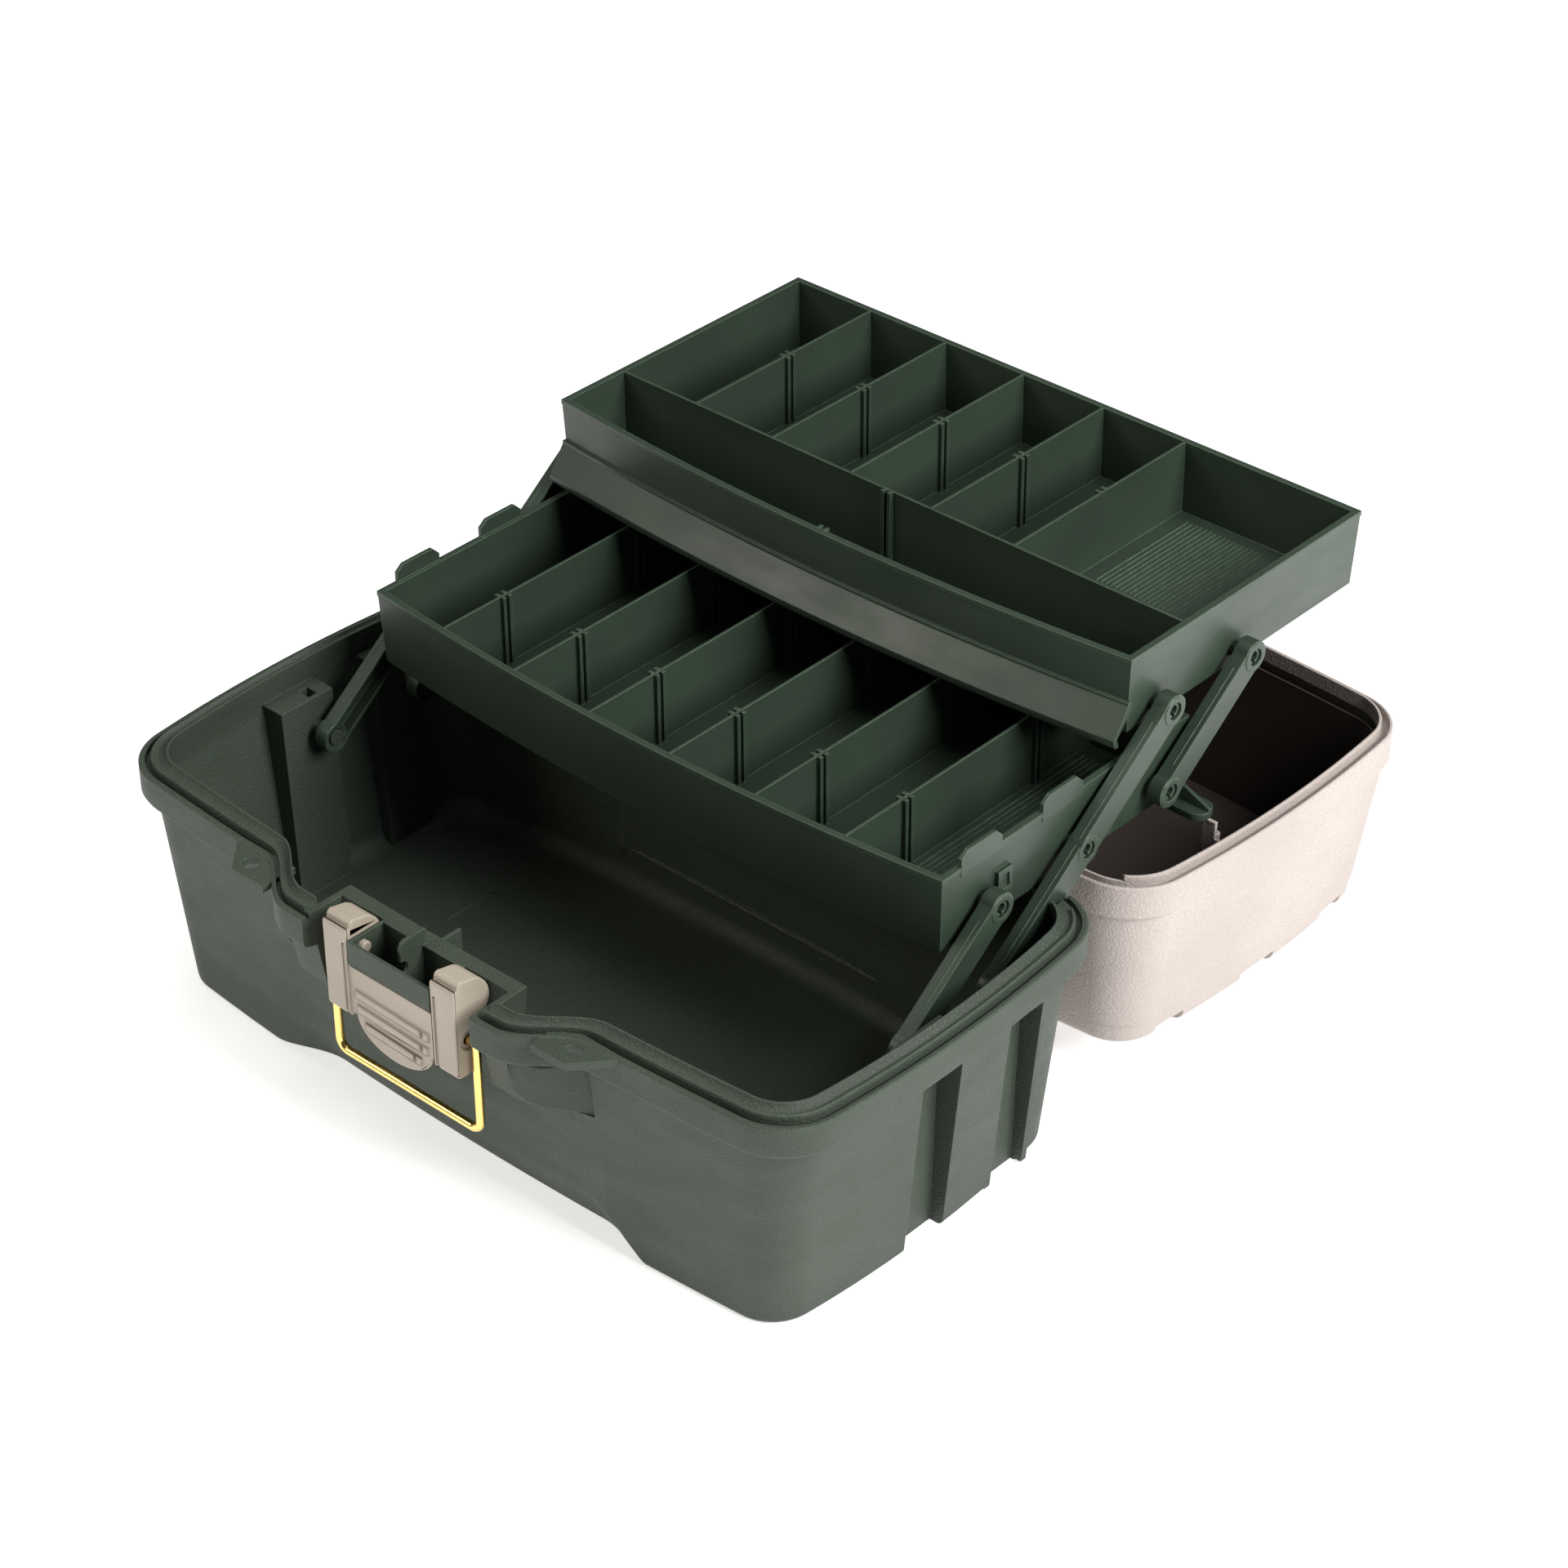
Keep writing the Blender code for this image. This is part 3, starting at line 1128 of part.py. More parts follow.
LONG_FOOT = (FRONT_FOOT[0] + PIVOT_SPACING, FRONT_FOOT[1])
FRONT_HEAD = along_link(FRONT_FOOT, 1)
LONG_MIDDLE = along_link(LONG_FOOT, 1)
LONG_HEAD = along_link(LONG_FOOT, 2)
UPPER_FOOT = (LONG_MIDDLE[0] + PIVOT_SPACING, LONG_MIDDLE[1])
UPPER_HEAD = along_link(UPPER_FOOT, 1)
COVER_HINGE_Z = LID_TOP_Z + 3.2 * MM
HANDLE_PIVOT_Z = LID_TOP_Z + 2.2 * MM
LINER_FLOOR_Z = -LID_HEIGHT + COMPARTMENT_DEPTH + 2 * LID_WALL
CATCH_TOP_Z = HINGE[1] - (2 * BAIL_PIVOT[1] - BAIL_LOW_Z) + BAIL_WIRE + SLIP

clear_scene()
PARTS = new_collection("tackle_box")
CUTTERS = new_collection("cutters")


def main():
    green = plastic("dark_green_plastic", (0.035, 0.052, 0.043), 0.55)
    tray_green = plastic("tray_green_plastic", (0.030, 0.045, 0.037), 0.42)
    beige = plastic("beige_plastic", (0.50, 0.43, 0.38), 0.55)
    brown = plastic("dark_brown_plastic", (0.030, 0.022, 0.018), 0.5)
    brass = plastic("brass_wire", (0.80, 0.58, 0.18), 0.22, 1.0)
    steel = plastic("steel_wire", (0.55, 0.55, 0.56), 0.35, 1.0)
    root = empty_at("tackle_box_root", (0, 0, 0))
    build_tub(root, green)
    latch_pivot = build_latch(root, beige)[1]
    build_bail(latch_pivot, brass)
    for label, side in (("left", -1), ("right", 1)):
        build_arm(f"front_arm_{label}", side, FRONT_FOOT, 2, root, tray_green)
        build_arm(f"long_arm_{label}", side, LONG_FOOT, 3, root, tray_green)
        build_arm(f"upper_arm_{label}", side, UPPER_FOOT, 2, root, tray_green)
    build_lower_tray(root, LONG_MIDDLE, tray_green)
    build_upper_tray(root, LONG_HEAD, tray_green)
    lid_frame = empty_at("lid_hinge", (0, *HINGE), root, LID_TILT)
    build_lid(lid_frame, beige)
    build_liner(lid_frame, brown)
    build_cover("access_cover_left", -1, lid_frame, beige)
    build_cover("access_cover_right", 1, lid_frame, beige)
    build_handle(lid_frame, beige)
    build_pins(root, lid_frame, steel)


main()
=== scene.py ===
"""Looks of the fishing tackle box: finer shells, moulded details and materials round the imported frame.

Metres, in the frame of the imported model. Each new piece is modelled where it stands at rest, then rides on
the body that it belongs to. The lid's pieces are modelled in the lid's own frame and turned into place.
"""

import math

import bmesh
import bpy
from mathutils import Matrix, Vector


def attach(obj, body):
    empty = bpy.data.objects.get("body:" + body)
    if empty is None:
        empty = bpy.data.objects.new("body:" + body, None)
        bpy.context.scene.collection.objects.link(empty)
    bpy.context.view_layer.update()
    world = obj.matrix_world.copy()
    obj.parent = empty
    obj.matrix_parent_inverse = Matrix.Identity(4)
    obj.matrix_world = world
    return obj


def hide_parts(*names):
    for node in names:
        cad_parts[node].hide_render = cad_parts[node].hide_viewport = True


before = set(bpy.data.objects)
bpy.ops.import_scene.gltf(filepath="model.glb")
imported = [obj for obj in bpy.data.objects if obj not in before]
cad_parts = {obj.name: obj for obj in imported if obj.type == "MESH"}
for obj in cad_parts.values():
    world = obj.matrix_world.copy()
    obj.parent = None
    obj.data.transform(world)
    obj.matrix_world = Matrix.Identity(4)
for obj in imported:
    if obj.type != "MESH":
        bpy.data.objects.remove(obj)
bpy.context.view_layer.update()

MM = 0.001

# Plan of the tub and the lid at their rims
HALF_LENGTH = 206.5 * MM
HALF_DEPTH = 108.6 * MM
FRONT_BOW = 9.4 * MM
END_BOW = 8.3 * MM
CORNER_RADIUS = 30 * MM

# Tub
RIM_Z = 116.5 * MM
BAND_Z = 101 * MM
TONGUE_RISE = 3.5 * MM
TUB_INSET = 8.4 * MM
FOOT_INSET = (17.5 * MM, 10.7 * MM)
WALL_INSET = (7.9 * MM, 4.0 * MM)
FLOOR_TOP_Z = 5 * MM
TUB_WALL = 3.3 * MM

# Swelling of the front rim on both sides of the latch pocket
BUMP = 18.5 * MM
BUMP_FLAT_X = 62 * MM
BUMP_END_X = 98 * MM
POCKET_X = 50 * MM
POCKET_Y = -103.5 * MM
POCKET_LOW_Z = 60 * MM

# Recess along the foot of the front wall
ARCH_SLOPE = math.radians(27)
ARCH_TOP_Z = 28.2 * MM
ARCH_FLAT_X = 80 * MM
ARCH_END_X = 122 * MM

# Latch cell, latch and bail
CELL_X = 24.5 * MM
CELL_FRONT_Y = -124.6 * MM
CELL_LOW_Z = 93 * MM
CELL_LIP_Z = 105 * MM
CELL_WALL = 1.5 * MM
LATCH_PIVOT = (-117.0 * MM, 111.0 * MM)
LATCH_X = 39.2 * MM
LATCH_FRONT_Y = -124.6 * MM
BAIL_PIVOT = (-116.8 * MM, 93.8 * MM)
BAIL_X = 42.9 * MM
BAIL_WIRE = 2.0 * MM
BAIL_LOW_Z = 47.5 * MM

# Posts on the tub's ends, and the grooves behind them
POST_SPANS = ((-19.8 * MM, 11.3 * MM), (37.2 * MM, 64.8 * MM))
POST_TOP_Z = 107 * MM
POST_FACE_LOW_X = 178.6 * MM
POST_FACE_TOP_X = 182.4 * MM
GROOVE_TOP_Z = 92 * MM

# Linkage: all pivots lie along X, given as (y, z)
LINK = 70 * MM
OPEN_ANGLE = math.radians(37)
PIVOT_SPACING = 56.6 * MM
FRONT_FOOT = (1.2 * MM, 90.3 * MM)
ARM_OUTER_X = 177 * MM
ARM_INNER_X = 169.4 * MM
ARM_END_RADIUS = 7.4 * MM
ARM_HALF_WIDTH = 6.3 * MM
PIN_RADIUS = 3.7 * MM
PIN_HOLE_RADIUS = 4.1 * MM
SNAP_END_X = 175.9 * MM

# Trays
TRAY_HALF_LENGTH = 167.4 * MM
TRAY_DRAFT = 1.8 * MM
TRAY_BOW = 9.6 * MM
TRAY_WALL = 1.35 * MM
TRAY_FLOOR = 1.25 * MM
DIVIDER = 1.2 * MM
TRAY_HEIGHT = 37.4 * MM
TRAY_DEPTH = 164 * MM
LOWER_TRAY_FRONT_Y = 29.2 * MM
LOWER_TRAY_RIM_Z = 157.0 * MM
LOWER_DIVIDERS = [(-122.4 + 47.8 * i) * MM for i in range(6)]
EAR_Y = 183.5 * MM
EAR_END_X = 188.2 * MM
EAR_HALF_WIDTH = 6.5 * MM
UPPER_TRAY_FRONT_Y = 149.6 * MM
UPPER_TRAY_RIM_Z = 205.6 * MM
UPPER_LONG_DIVIDER_Y = 188.6 * MM
UPPER_DIVIDERS = [(-118.3 + 47.5 * i) * MM for i in range(5)]
SKIRT_CREASE_DROP = 23 * MM
SKIRT_FLARE = 9.2 * MM
SKIRT_DROP = 41 * MM

# Lid, in its own frame: rim plane facing up, y measured from the hinge axis
HINGE = (110.0 * MM, 115.0 * MM)
LID_TILT = math.radians(-1.65)
HINGE_GAP = 1.4 * MM
LID_RIM_Z = -1.5 * MM
LID_HEIGHT = 92.7 * MM
LID_WALL = 1.4 * MM
LINER = 0.9 * MM
LINER_FRONT_INSET = 8 * MM
LID_TOP_INSET = 11.4 * MM
LID_BAND = 16 * MM
LID_CENTRE_Y = HALF_DEPTH + HINGE_GAP
LID_TOP_Z = LID_RIM_Z - LID_HEIGHT
KNUCKLE_RADIUS = 3.9 * MM
KNUCKLE_CLEAR = 4.7 * MM
HINGE_X = 110 * MM
REST_X = (179 * MM, 185.6 * MM)
REST_Y = 83.0 * MM
REST_TOP_Z = -3.6 * MM
REST_WEB_Z = -12 * MM
REST_LOW_Z = -50 * MM
HINGE_PIN_RADIUS = 1.5 * MM

# Top-access compartments and carry handle, on the lid's top
COVER_X = (58 * MM, 181.5 * MM)
COVER_HALF_Y = 62.5 * MM
COVER_HINGE_X = 186 * MM
COVER_THICK = 1.8 * MM
COVER_LUGS = ((-60 * MM, 15 * MM), (0.0, 22 * MM), (60 * MM, 15 * MM))
COMPARTMENT_DEPTH = 6.6 * MM
COVER_PIN_RADIUS = 1.2 * MM
WELL_X = 53 * MM
WELL_HALF_Y = 25 * MM
HANDLE_PIVOT_Y = -15 * MM
HANDLE_PIN_RADIUS = 1.5 * MM

SLIP = 0.3 * MM
OVER = 5 * MM
FAR_FRONT_Y = -140 * MM

# Fineness of the curves
CORNER_STEPS = 14
END_STEPS = 8
SWELL_STEPS = 14
ROUND_STEPS = 32
TRAY_STEPS = 40

# Moulded details
SHARP = math.radians(32)
FLOOR_FILLET = 8.5 * MM
# Ridges of the rims, in mm: inset from the rim's edge, and height over the rim plane
RIM_PROFILE = [(2.4, 0), (2.9, -2.6), (4.5, -2.6), (4.8, 1.4), (5.2, 2.3), (5.9, 2.5), (6.4, 1.7),
               (7.2, 0.9), (8.4, 0.8), (9.6, 1.5), (10.6, 2.7), (11.1, 3.5)]
LID_PROFILE = [(0.5, -16), (0, -15), (0, -0.6), (0.5, 0), (1.3, 0), (1.5, -0.4), (1.6, -3.8), (4.6, -3.8),
               (4.7, 2.4), (4.9, 2.8), (5.4, 2.8)]
LATCH_RIBS = [(22.0 * MM, 90.5 * MM), (21.5 * MM, 83.0 * MM), (17.0 * MM, 75.5 * MM)]
SLOT_POST = 1.7 * MM
SLOT_GAP = 1.9 * MM
SLOT_REACH = 2.3 * MM
SLOT_RISE = 0.2 * MM

# Camera: where it stands, its right, up and back axes, and the lens on a 36 mm sensor
CAMERA_PLACE = (1.0022, -0.9811, 1.1067)
CAMERA_AXES = [(0.74076, 0.67176, -0.00405), (-0.37850, 0.42235, 0.82363), (0.55499, -0.60858, 0.56712)]
CAMERA_LENS = 91.68


# ---- mesh tools ------------------------------------------------------------------------------------


def object_from(bm, name):
    bmesh.ops.recalc_face_normals(bm, faces=bm.faces)
    mesh = bpy.data.meshes.new(name)
    bm.to_mesh(mesh)
    bm.free()
    obj = bpy.data.objects.new(name, mesh)
    bpy.context.scene.collection.objects.link(obj)
    return obj


def box(low, high):
    bm = bmesh.new()
    size = Vector(high) - Vector(low)
    middle = (Vector(high) + Vector(low)) / 2
    bmesh.ops.create_cube(bm, size=1.0, matrix=Matrix.Translation(middle) @ Matrix.Diagonal((*size, 1.0)))
    return bm


def rod(middle, length, radius, axis):
    """A round bar along X, Y or Z."""
    bm = bmesh.new()
    turn = {"X": Matrix.Rotation(math.pi / 2, 4, "Y"), "Y": Matrix.Rotation(math.pi / 2, 4, "X"),
            "Z": Matrix()}
    bmesh.ops.create_cone(
        bm, cap_ends=True, segments=ROUND_STEPS, radius1=radius, radius2=radius, depth=length,
        matrix=Matrix.Translation(middle) @ turn[axis],
    )
    return bm


def rod_x(x_low, x_high, y, z, radius):
    return rod(((x_low + x_high) / 2, y, z), x_high - x_low, radius, "X")


def rod_y(x, y_low, y_high, z, radius):
    return rod((x, (y_low + y_high) / 2, z), y_high - y_low, radius, "Y")


def rod_z(x, y, z_low, z_high, radius):
    return rod((x, y, (z_low + z_high) / 2), z_high - z_low, radius, "Z")


def extrude_outline(points, step):
    """A prism: the closed outline of 3-D points, swept by one straight step."""
    bm = bmesh.new()
    face = bm.faces.new([bm.verts.new(point) for point in points])
    swept = bmesh.ops.extrude_face_region(bm, geom=[face])
    verts = [item for item in swept["geom"] if isinstance(item, bmesh.types.BMVert)]
    bmesh.ops.translate(bm, verts=verts, vec=Vector(step))
    return bm


def prism_x(outline, x_low, x_high):
    """A prism along X of an outline given as (y, z)."""
    return extrude_outline([(x_low, y, z) for y, z in outline], (x_high - x_low, 0, 0))


def prism_y(outline, y_low, y_high):
    """A prism along Y of an outline given as (x, z)."""
    return extrude_outline([(x, y_low, z) for x, z in outline], (0, y_high - y_low, 0))


def prism_z(outline, z_low, z_high):
    """A prism along Z of an outline given as (x, y)."""
    return extrude_outline([(x, y, z_low) for x, y in outline], (0, 0, z_high - z_low))


def loft(rings):
    """A closed solid through rings of equal point count, one above the other."""
    bm = bmesh.new()
    loops = [[bm.verts.new(point) for point in ring] for ring in rings]
    count = len(loops[0])
    for below, above in zip(loops, loops[1:]):
        for i in range(count):
            j = (i + 1) % count
            bm.faces.new((below[i], below[j], above[j], above[i]))
    bm.faces.new(loops[0][::-1])
    bm.faces.new(loops[-1])
    return bm


def merged(*solids):
    """Separate solids in one mesh."""
    target = bmesh.new()
    for solid in solids:
        mesh = bpy.data.meshes.new("part")
        solid.to_mesh(mesh)
        solid.free()
        target.from_mesh(mesh)
        bpy.data.meshes.remove(mesh)
    return target


def mirrored_x(bm):
    """The solid with its mirror image across the middle plane, as two separate solids."""
    geometry = bm.verts[:] + bm.edges[:] + bm.faces[:]
    copy = bmesh.ops.duplicate(bm, geom=geometry)["geom"]
    verts = [item for item in copy if isinstance(item, bmesh.types.BMVert)]
    faces = [item for item in copy if isinstance(item, bmesh.types.BMFace)]
    bmesh.ops.scale(bm, vec=(-1, 1, 1), verts=verts)
    bmesh.ops.reverse_faces(bm, faces=faces)
    return bm


def combine(obj, operation, bm, name):
    tool = object_from(bm, name)
    modifier = obj.modifiers.new(name, "BOOLEAN")
    modifier.operation = operation
    modifier.solver = "EXACT"
    modifier.object = tool


def join(obj, bm, name):
    combine(obj, "UNION", bm, name)


def cut(obj, bm, name):
    combine(obj, "DIFFERENCE", bm, name)


def baked(obj):
    """The object with its Booleans made part of its mesh, and their tools gone."""
    graph = bpy.context.evaluated_depsgraph_get()
    mesh = bpy.data.meshes.new_from_object(obj.evaluated_get(graph))
    tools = [modifier.object for modifier in obj.modifiers]
    obj.modifiers.clear()
    obj.data = mesh
    for tool in tools:
        bpy.data.objects.remove(tool)
    return obj


def soften(obj, width):
    """Smooth faces between the sharp edges, and small round edges when a width is given."""
    if width:
        bevel = obj.modifiers.new("edges", "BEVEL")
        bevel.width = width
        bevel.segments = 2
        bevel.limit_method = "ANGLE"
        bevel.angle_limit = SHARP
        bevel.use_clamp_overlap = False
        obj.data.shade_smooth()
    else:
        obj.data.set_sharp_from_angle(angle=SHARP)
    normals = obj.modifiers.new("normals", "WEIGHTED_NORMAL")
    normals.keep_sharp = True
    return obj


def finished(obj, material, body, replaced=(), edge=0.0):
    """A finished piece: baked, softened, coloured, and riding on its body."""
    baked(obj)
    weld = obj.modifiers.new("weld", "WELD")
    weld.merge_threshold = 0.02 * MM
    soften(obj, edge)
    obj.data.materials.clear()
    obj.data.materials.append(material)
    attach(obj, body)
    if replaced:
        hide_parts(*replaced)
    return obj


# ---- plan of the tub and the lid -------------------------------------------------------------------


def spread(start, stop, steps):
    return [start + (stop - start) * i / steps for i in range(steps + 1)]


def arc_points(centre, radius, start, stop, steps):
    """Points along an arc, from the start angle to the stop angle."""
    turns = spread(start, stop, steps)
    return [(centre[0] + radius * math.cos(a), centre[1] + radius * math.sin(a)) for a in turns]


def quarter(half_x, half_y, radius):
    """Front-right quarter of a bowed rectangle with round corners, from the middle of the front to the
    middle of the right end. Front and end are arcs and the corner arc is tangent to both."""
    front_radius = (half_x**2 + FRONT_BOW**2) / (2 * FRONT_BOW)
    end_radius = (half_y**2 + END_BOW**2) / (2 * END_BOW)
    front_centre = Vector((0, front_radius - half_y))
    end_centre = Vector((half_x - end_radius, 0))
    reach = front_radius - radius
    between = end_centre - front_centre
    along = (reach**2 - (end_radius - radius) ** 2 + between.length_squared) / (2 * between.length)
    across = math.sqrt(reach**2 - along**2)
    forward = between.normalized()
    centre = front_centre + along * forward - across * Vector((-forward.y, forward.x))
    if centre.y > 0:
        centre = front_centre + along * forward + across * Vector((-forward.y, forward.x))
    start = math.atan2(centre.y - front_centre.y, centre.x - front_centre.x)
    stop = math.atan2(centre.y - end_centre.y, centre.x - end_centre.x)
    corner = arc_points(centre, radius, start, stop, CORNER_STEPS)
    front = [(x, front_centre.y - math.sqrt(front_radius**2 - x**2)) for x in front_stations(corner[0][0])]
    end = arc_points(end_centre, end_radius, stop, 0, END_STEPS)[1:]
    return [Vector(p) for p in front + corner + end]


def front_stations(last_x):
    """Places along the front where the swelling needs points, then on to the corner."""
    swelling = spread(BUMP_FLAT_X, BUMP_END_X, SWELL_STEPS)
    inner = [0.0, POCKET_X + TUB_WALL - 0.5 * MM, POCKET_X + TUB_WALL]
    return inner + swelling + spread(BUMP_END_X, last_x, 4)[1:-1]


def swell(x, amount, hollow):
    """How far the front stands out at x. A hollow stays flat behind the latch pocket."""
    if hollow and x < POCKET_X + TUB_WALL - 0.1 * MM:
        return 0.0
    share = (x - BUMP_FLAT_X) / (BUMP_END_X - BUMP_FLAT_X)
    share = min(max(share, 0.0), 1.0)
    return amount * (1 + math.cos(math.pi * share)) / 2


def ring(z, inset, bump=0.0, hollow=False, radius=None, flip=False, centre_y=0.0):
    """The plan outline at one height, inset from the rim outline by (x, y)."""
    half_x = HALF_LENGTH - inset[0]
    half_y = HALF_DEPTH - inset[1]
    radius = radius or CORNER_RADIUS - min(inset) * 0.8
    right = quarter(half_x, half_y, radius)
    last_front = len(front_stations(0.0))
    rear_right = [Vector((p.x, -p.y)) for p in right[::-1][1:]]
    for p in right[:last_front]:
        p.y -= swell(p.x, bump, hollow)
    half = right + rear_right
    whole = half + [Vector((-p.x, p.y)) for p in half[::-1][1:-1]]
    sign = -1 if flip else 1
    return [(p.x, centre_y + sign * p.y, z) for p in whole]


def rounded(z, radius, steps=6):
    """Steps (z, extra inset) of a fillet between a floor at z and a wall."""
    turns = spread(0, math.pi / 2, steps)
    return [(z + radius * (1 - math.cos(a)), radius * (1 - math.sin(a))) for a in turns]


# ---- base tub --------------------------------------------------------------------------------------


def wall_inset(z):
    """Inset (x, y) of the outer wall at a height between the foot and the band."""
    share = z / (BAND_Z - 2 * MM)
    return tuple(foot + (top - foot) * share for foot, top in zip(FOOT_INSET, WALL_INSET))


def tub_rings():
    """Outside of the tub: foot, wall, band, ledge, then the double ridge of the rim."""
    low = BAND_Z - 2 * MM

    def wall(z, more=0.0):
        return tuple(inset + more for inset in wall_inset(z))

    def band(inset, z, bump=BUMP):
        return ring(z, (inset, inset), bump)

    foot = [ring(z, wall(z, more)) for z, more in rounded(0, 3 * MM)]
    bulge = [ring(71.5 * MM, wall(71.5 * MM)), ring(73.5 * MM, wall(73.5 * MM), 0.62 * BUMP),
             ring(75.5 * MM, wall(75.5 * MM), 0.7 * BUMP), ring(low, wall(low), 0.82 * BUMP)]
    edge = [ring(BAND_Z, (1.5 * MM, 0.8 * MM), BUMP), band(0, BAND_Z + 2 * MM), band(0, RIM_Z - 0.7 * MM),
            band(0.7 * MM, RIM_Z)]
    rim = [band(inset * MM, RIM_Z + rise * MM) for inset, rise in RIM_PROFILE]
    return foot + bulge + edge + rim


def tub_hollow():
    low = (FOOT_INSET[0] + TUB_WALL - 0.5 * MM, FOOT_INSET[1] + TUB_WALL - 0.4 * MM)
    high = (WALL_INSET[0] + TUB_WALL + 0.3 * MM, TUB_INSET)

    def wall(z, more=0.0):
        share = (z - FLOOR_TOP_Z) / (BAND_Z - FLOOR_TOP_Z)
        return tuple(a + (b - a) * share + more for a, b in zip(low, high))

    fillet = [ring(z, wall(z, more), hollow=True) for z, more in rounded(FLOOR_TOP_Z, FLOOR_FILLET)]
    rim = (11.8 * MM, 11.8 * MM)
    return loft(fillet + [
        ring(70 * MM, wall(70 * MM), hollow=True),
        ring(88 * MM, wall(88 * MM), 0.75 * BUMP, hollow=True),
        ring(BAND_Z, wall(BAND_Z), BUMP, hollow=True),
        ring(BAND_Z + 5 * MM, (10.6 * MM, 10.6 * MM), BUMP, hollow=True),
        ring(RIM_Z - 2 * MM, rim, BUMP, hollow=True),
        ring(RIM_Z + TONGUE_RISE + OVER, rim, BUMP, hollow=True),
    ])


def post(span, grow, face, z_low, z_high, outer_x):
    """A block against the right end wall. face is its inner face's x at the bottom and the top."""
    y_low, y_high = span[0] - grow, span[1] + grow
    outline = [(face[0], z_low), (outer_x[0], z_low), (outer_x[1], z_high), (face[1], z_high)]
    return prism_y(outline, y_low, y_high)


def add_posts(tub):
    face = (POST_FACE_LOW_X, POST_FACE_TOP_X)
    wall_low = HALF_LENGTH - FOOT_INSET[0] - 1.2 * MM
    wall_high = HALF_LENGTH - WALL_INSET[0] - 0.6 * MM
    for number, span in enumerate(POST_SPANS):
        solid = post(span, 0, face, 1 * MM, POST_TOP_Z, (wall_low, wall_high))
        join(tub, mirrored_x(solid), f"post_{number}")


def add_pivot_pins(tub):
    for number, (y, z) in enumerate((FRONT_FOOT, LONG_FOOT)):
        pin = rod_x(ARM_INNER_X + 0.4 * MM, POST_FACE_TOP_X + 1 * MM, y, z, PIN_RADIUS)
        join(tub, mirrored_x(pin), f"post_pin_{number}")


def cut_grooves(tub):
    """Two grooves up each end, outside the posts."""
    back = (POST_FACE_LOW_X + TUB_WALL, POST_FACE_LOW_X + TUB_WALL + 2.6 * MM)
    outer = (HALF_LENGTH, HALF_LENGTH + OVER)
    for number, span in enumerate(POST_SPANS):
        solid = post(span, -TUB_WALL, back, -OVER, GROOVE_TOP_Z, outer)
        cut(tub, mirrored_x(solid), f"groove_{number}")


def front_wall_y(x, z):
    """The outside of the front wall, at a place along it and a height."""
    inset_x, inset_y = wall_inset(z)
    radius = ((HALF_LENGTH - inset_x) ** 2 + FRONT_BOW**2) / (2 * FRONT_BOW)
    return radius - math.sqrt(radius**2 - x**2) - (HALF_DEPTH - inset_y)


def arch_height(x):
    """Height of the arched line between the corner feet."""
    share = min(max((abs(x) - ARCH_FLAT_X) / (ARCH_END_X - ARCH_FLAT_X), 0.0), 1.0)
    return ARCH_TOP_Z * (1 + math.cos(math.pi * share)) / 2 + 0.1 * MM


def cut_arch(tub):
    """The front slopes in under the arched line."""
    sections = []
    for x in spread(-ARCH_END_X, ARCH_END_X, 72):
        height = arch_height(x)
        front = front_wall_y(x, height) - 0.05 * MM
        foot = front + height * math.tan(ARCH_SLOPE)
        outline = [(front, height), (foot, 0), (foot, -OVER), (FAR_FRONT_Y, -OVER), (FAR_FRONT_Y, height)]
        sections.append([(x, y, z) for y, z in outline])
    cut(tub, loft(sections), "front_arch")


def add_ramp(tub):
    """The inside face behind the arch, so that the wall keeps its thickness."""
    sections = []
    for x in spread(-ARCH_END_X, ARCH_END_X, 24):
        wall = front_wall_y(x, 0) + 1.5 * MM
        sections.append([(x, wall, 1 * MM), (x, wall, 34 * MM), (x, wall + 1 * MM, 34 * MM),
                         (x, wall + 15.4 * MM, 1 * MM)])
    join(tub, loft(sections), "ramp")


def cut_arm_notches(tub):
    """The long arms lie across the rear corners of the rim."""
    def under_arm(y):
        drop = (ARM_END_RADIUS + 0.9 * MM) / math.cos(OPEN_ANGLE)
        return LONG_FOOT[1] + (y - LONG_FOOT[0]) * math.tan(OPEN_ANGLE) - drop

    low_y, high_y = 80 * MM, 116 * MM
    top = 140 * MM
    outline = [(low_y, under_arm(low_y)), (high_y, under_arm(high_y)), (high_y, top), (low_y, top)]
    cut(tub, mirrored_x(prism_x(outline, ARM_INNER_X - 1 * MM, ARM_OUTER_X + 1 * MM)), "arm_notch")


def cell_outline(inset, top, back):
    """Side view of the latch cell as (y, z): its floor slopes up to a low front wall."""
    front = CELL_FRONT_Y + inset
    return [(front, top), (front, CELL_LIP_Z + 0.7 * inset), (-112 * MM, CELL_LOW_Z + inset),
            (back, CELL_LOW_Z + inset), (back, top)]


def add_latch_cell(tub):
    """The open box in the middle of the latch pocket, with its two fins."""
    back = POCKET_Y + 1 * MM
    join(tub, prism_x(cell_outline(0, RIM_Z, back), -CELL_X, CELL_X), "cell")
    fin_front = CELL_FRONT_Y + 7 * MM
    outline = [
        (fin_front, RIM_Z - 8 * MM), (fin_front, RIM_Z + 4 * MM), (fin_front + 1 * MM, RIM_Z + 6.4 * MM),
        (fin_front + 3 * MM, RIM_Z + 7.6 * MM), (-103 * MM, RIM_Z + 7.6 * MM), (-103 * MM, RIM_Z - 8 * MM),
    ]
    join(tub, prism_x(outline, -0.8 * MM, 0.8 * MM), "cell_fin")
    rear = box((2.2 * MM, -104 * MM, 100 * MM), (3.8 * MM, -86 * MM, RIM_Z - 0.9 * MM))
    join(tub, rear, "rear_fin")


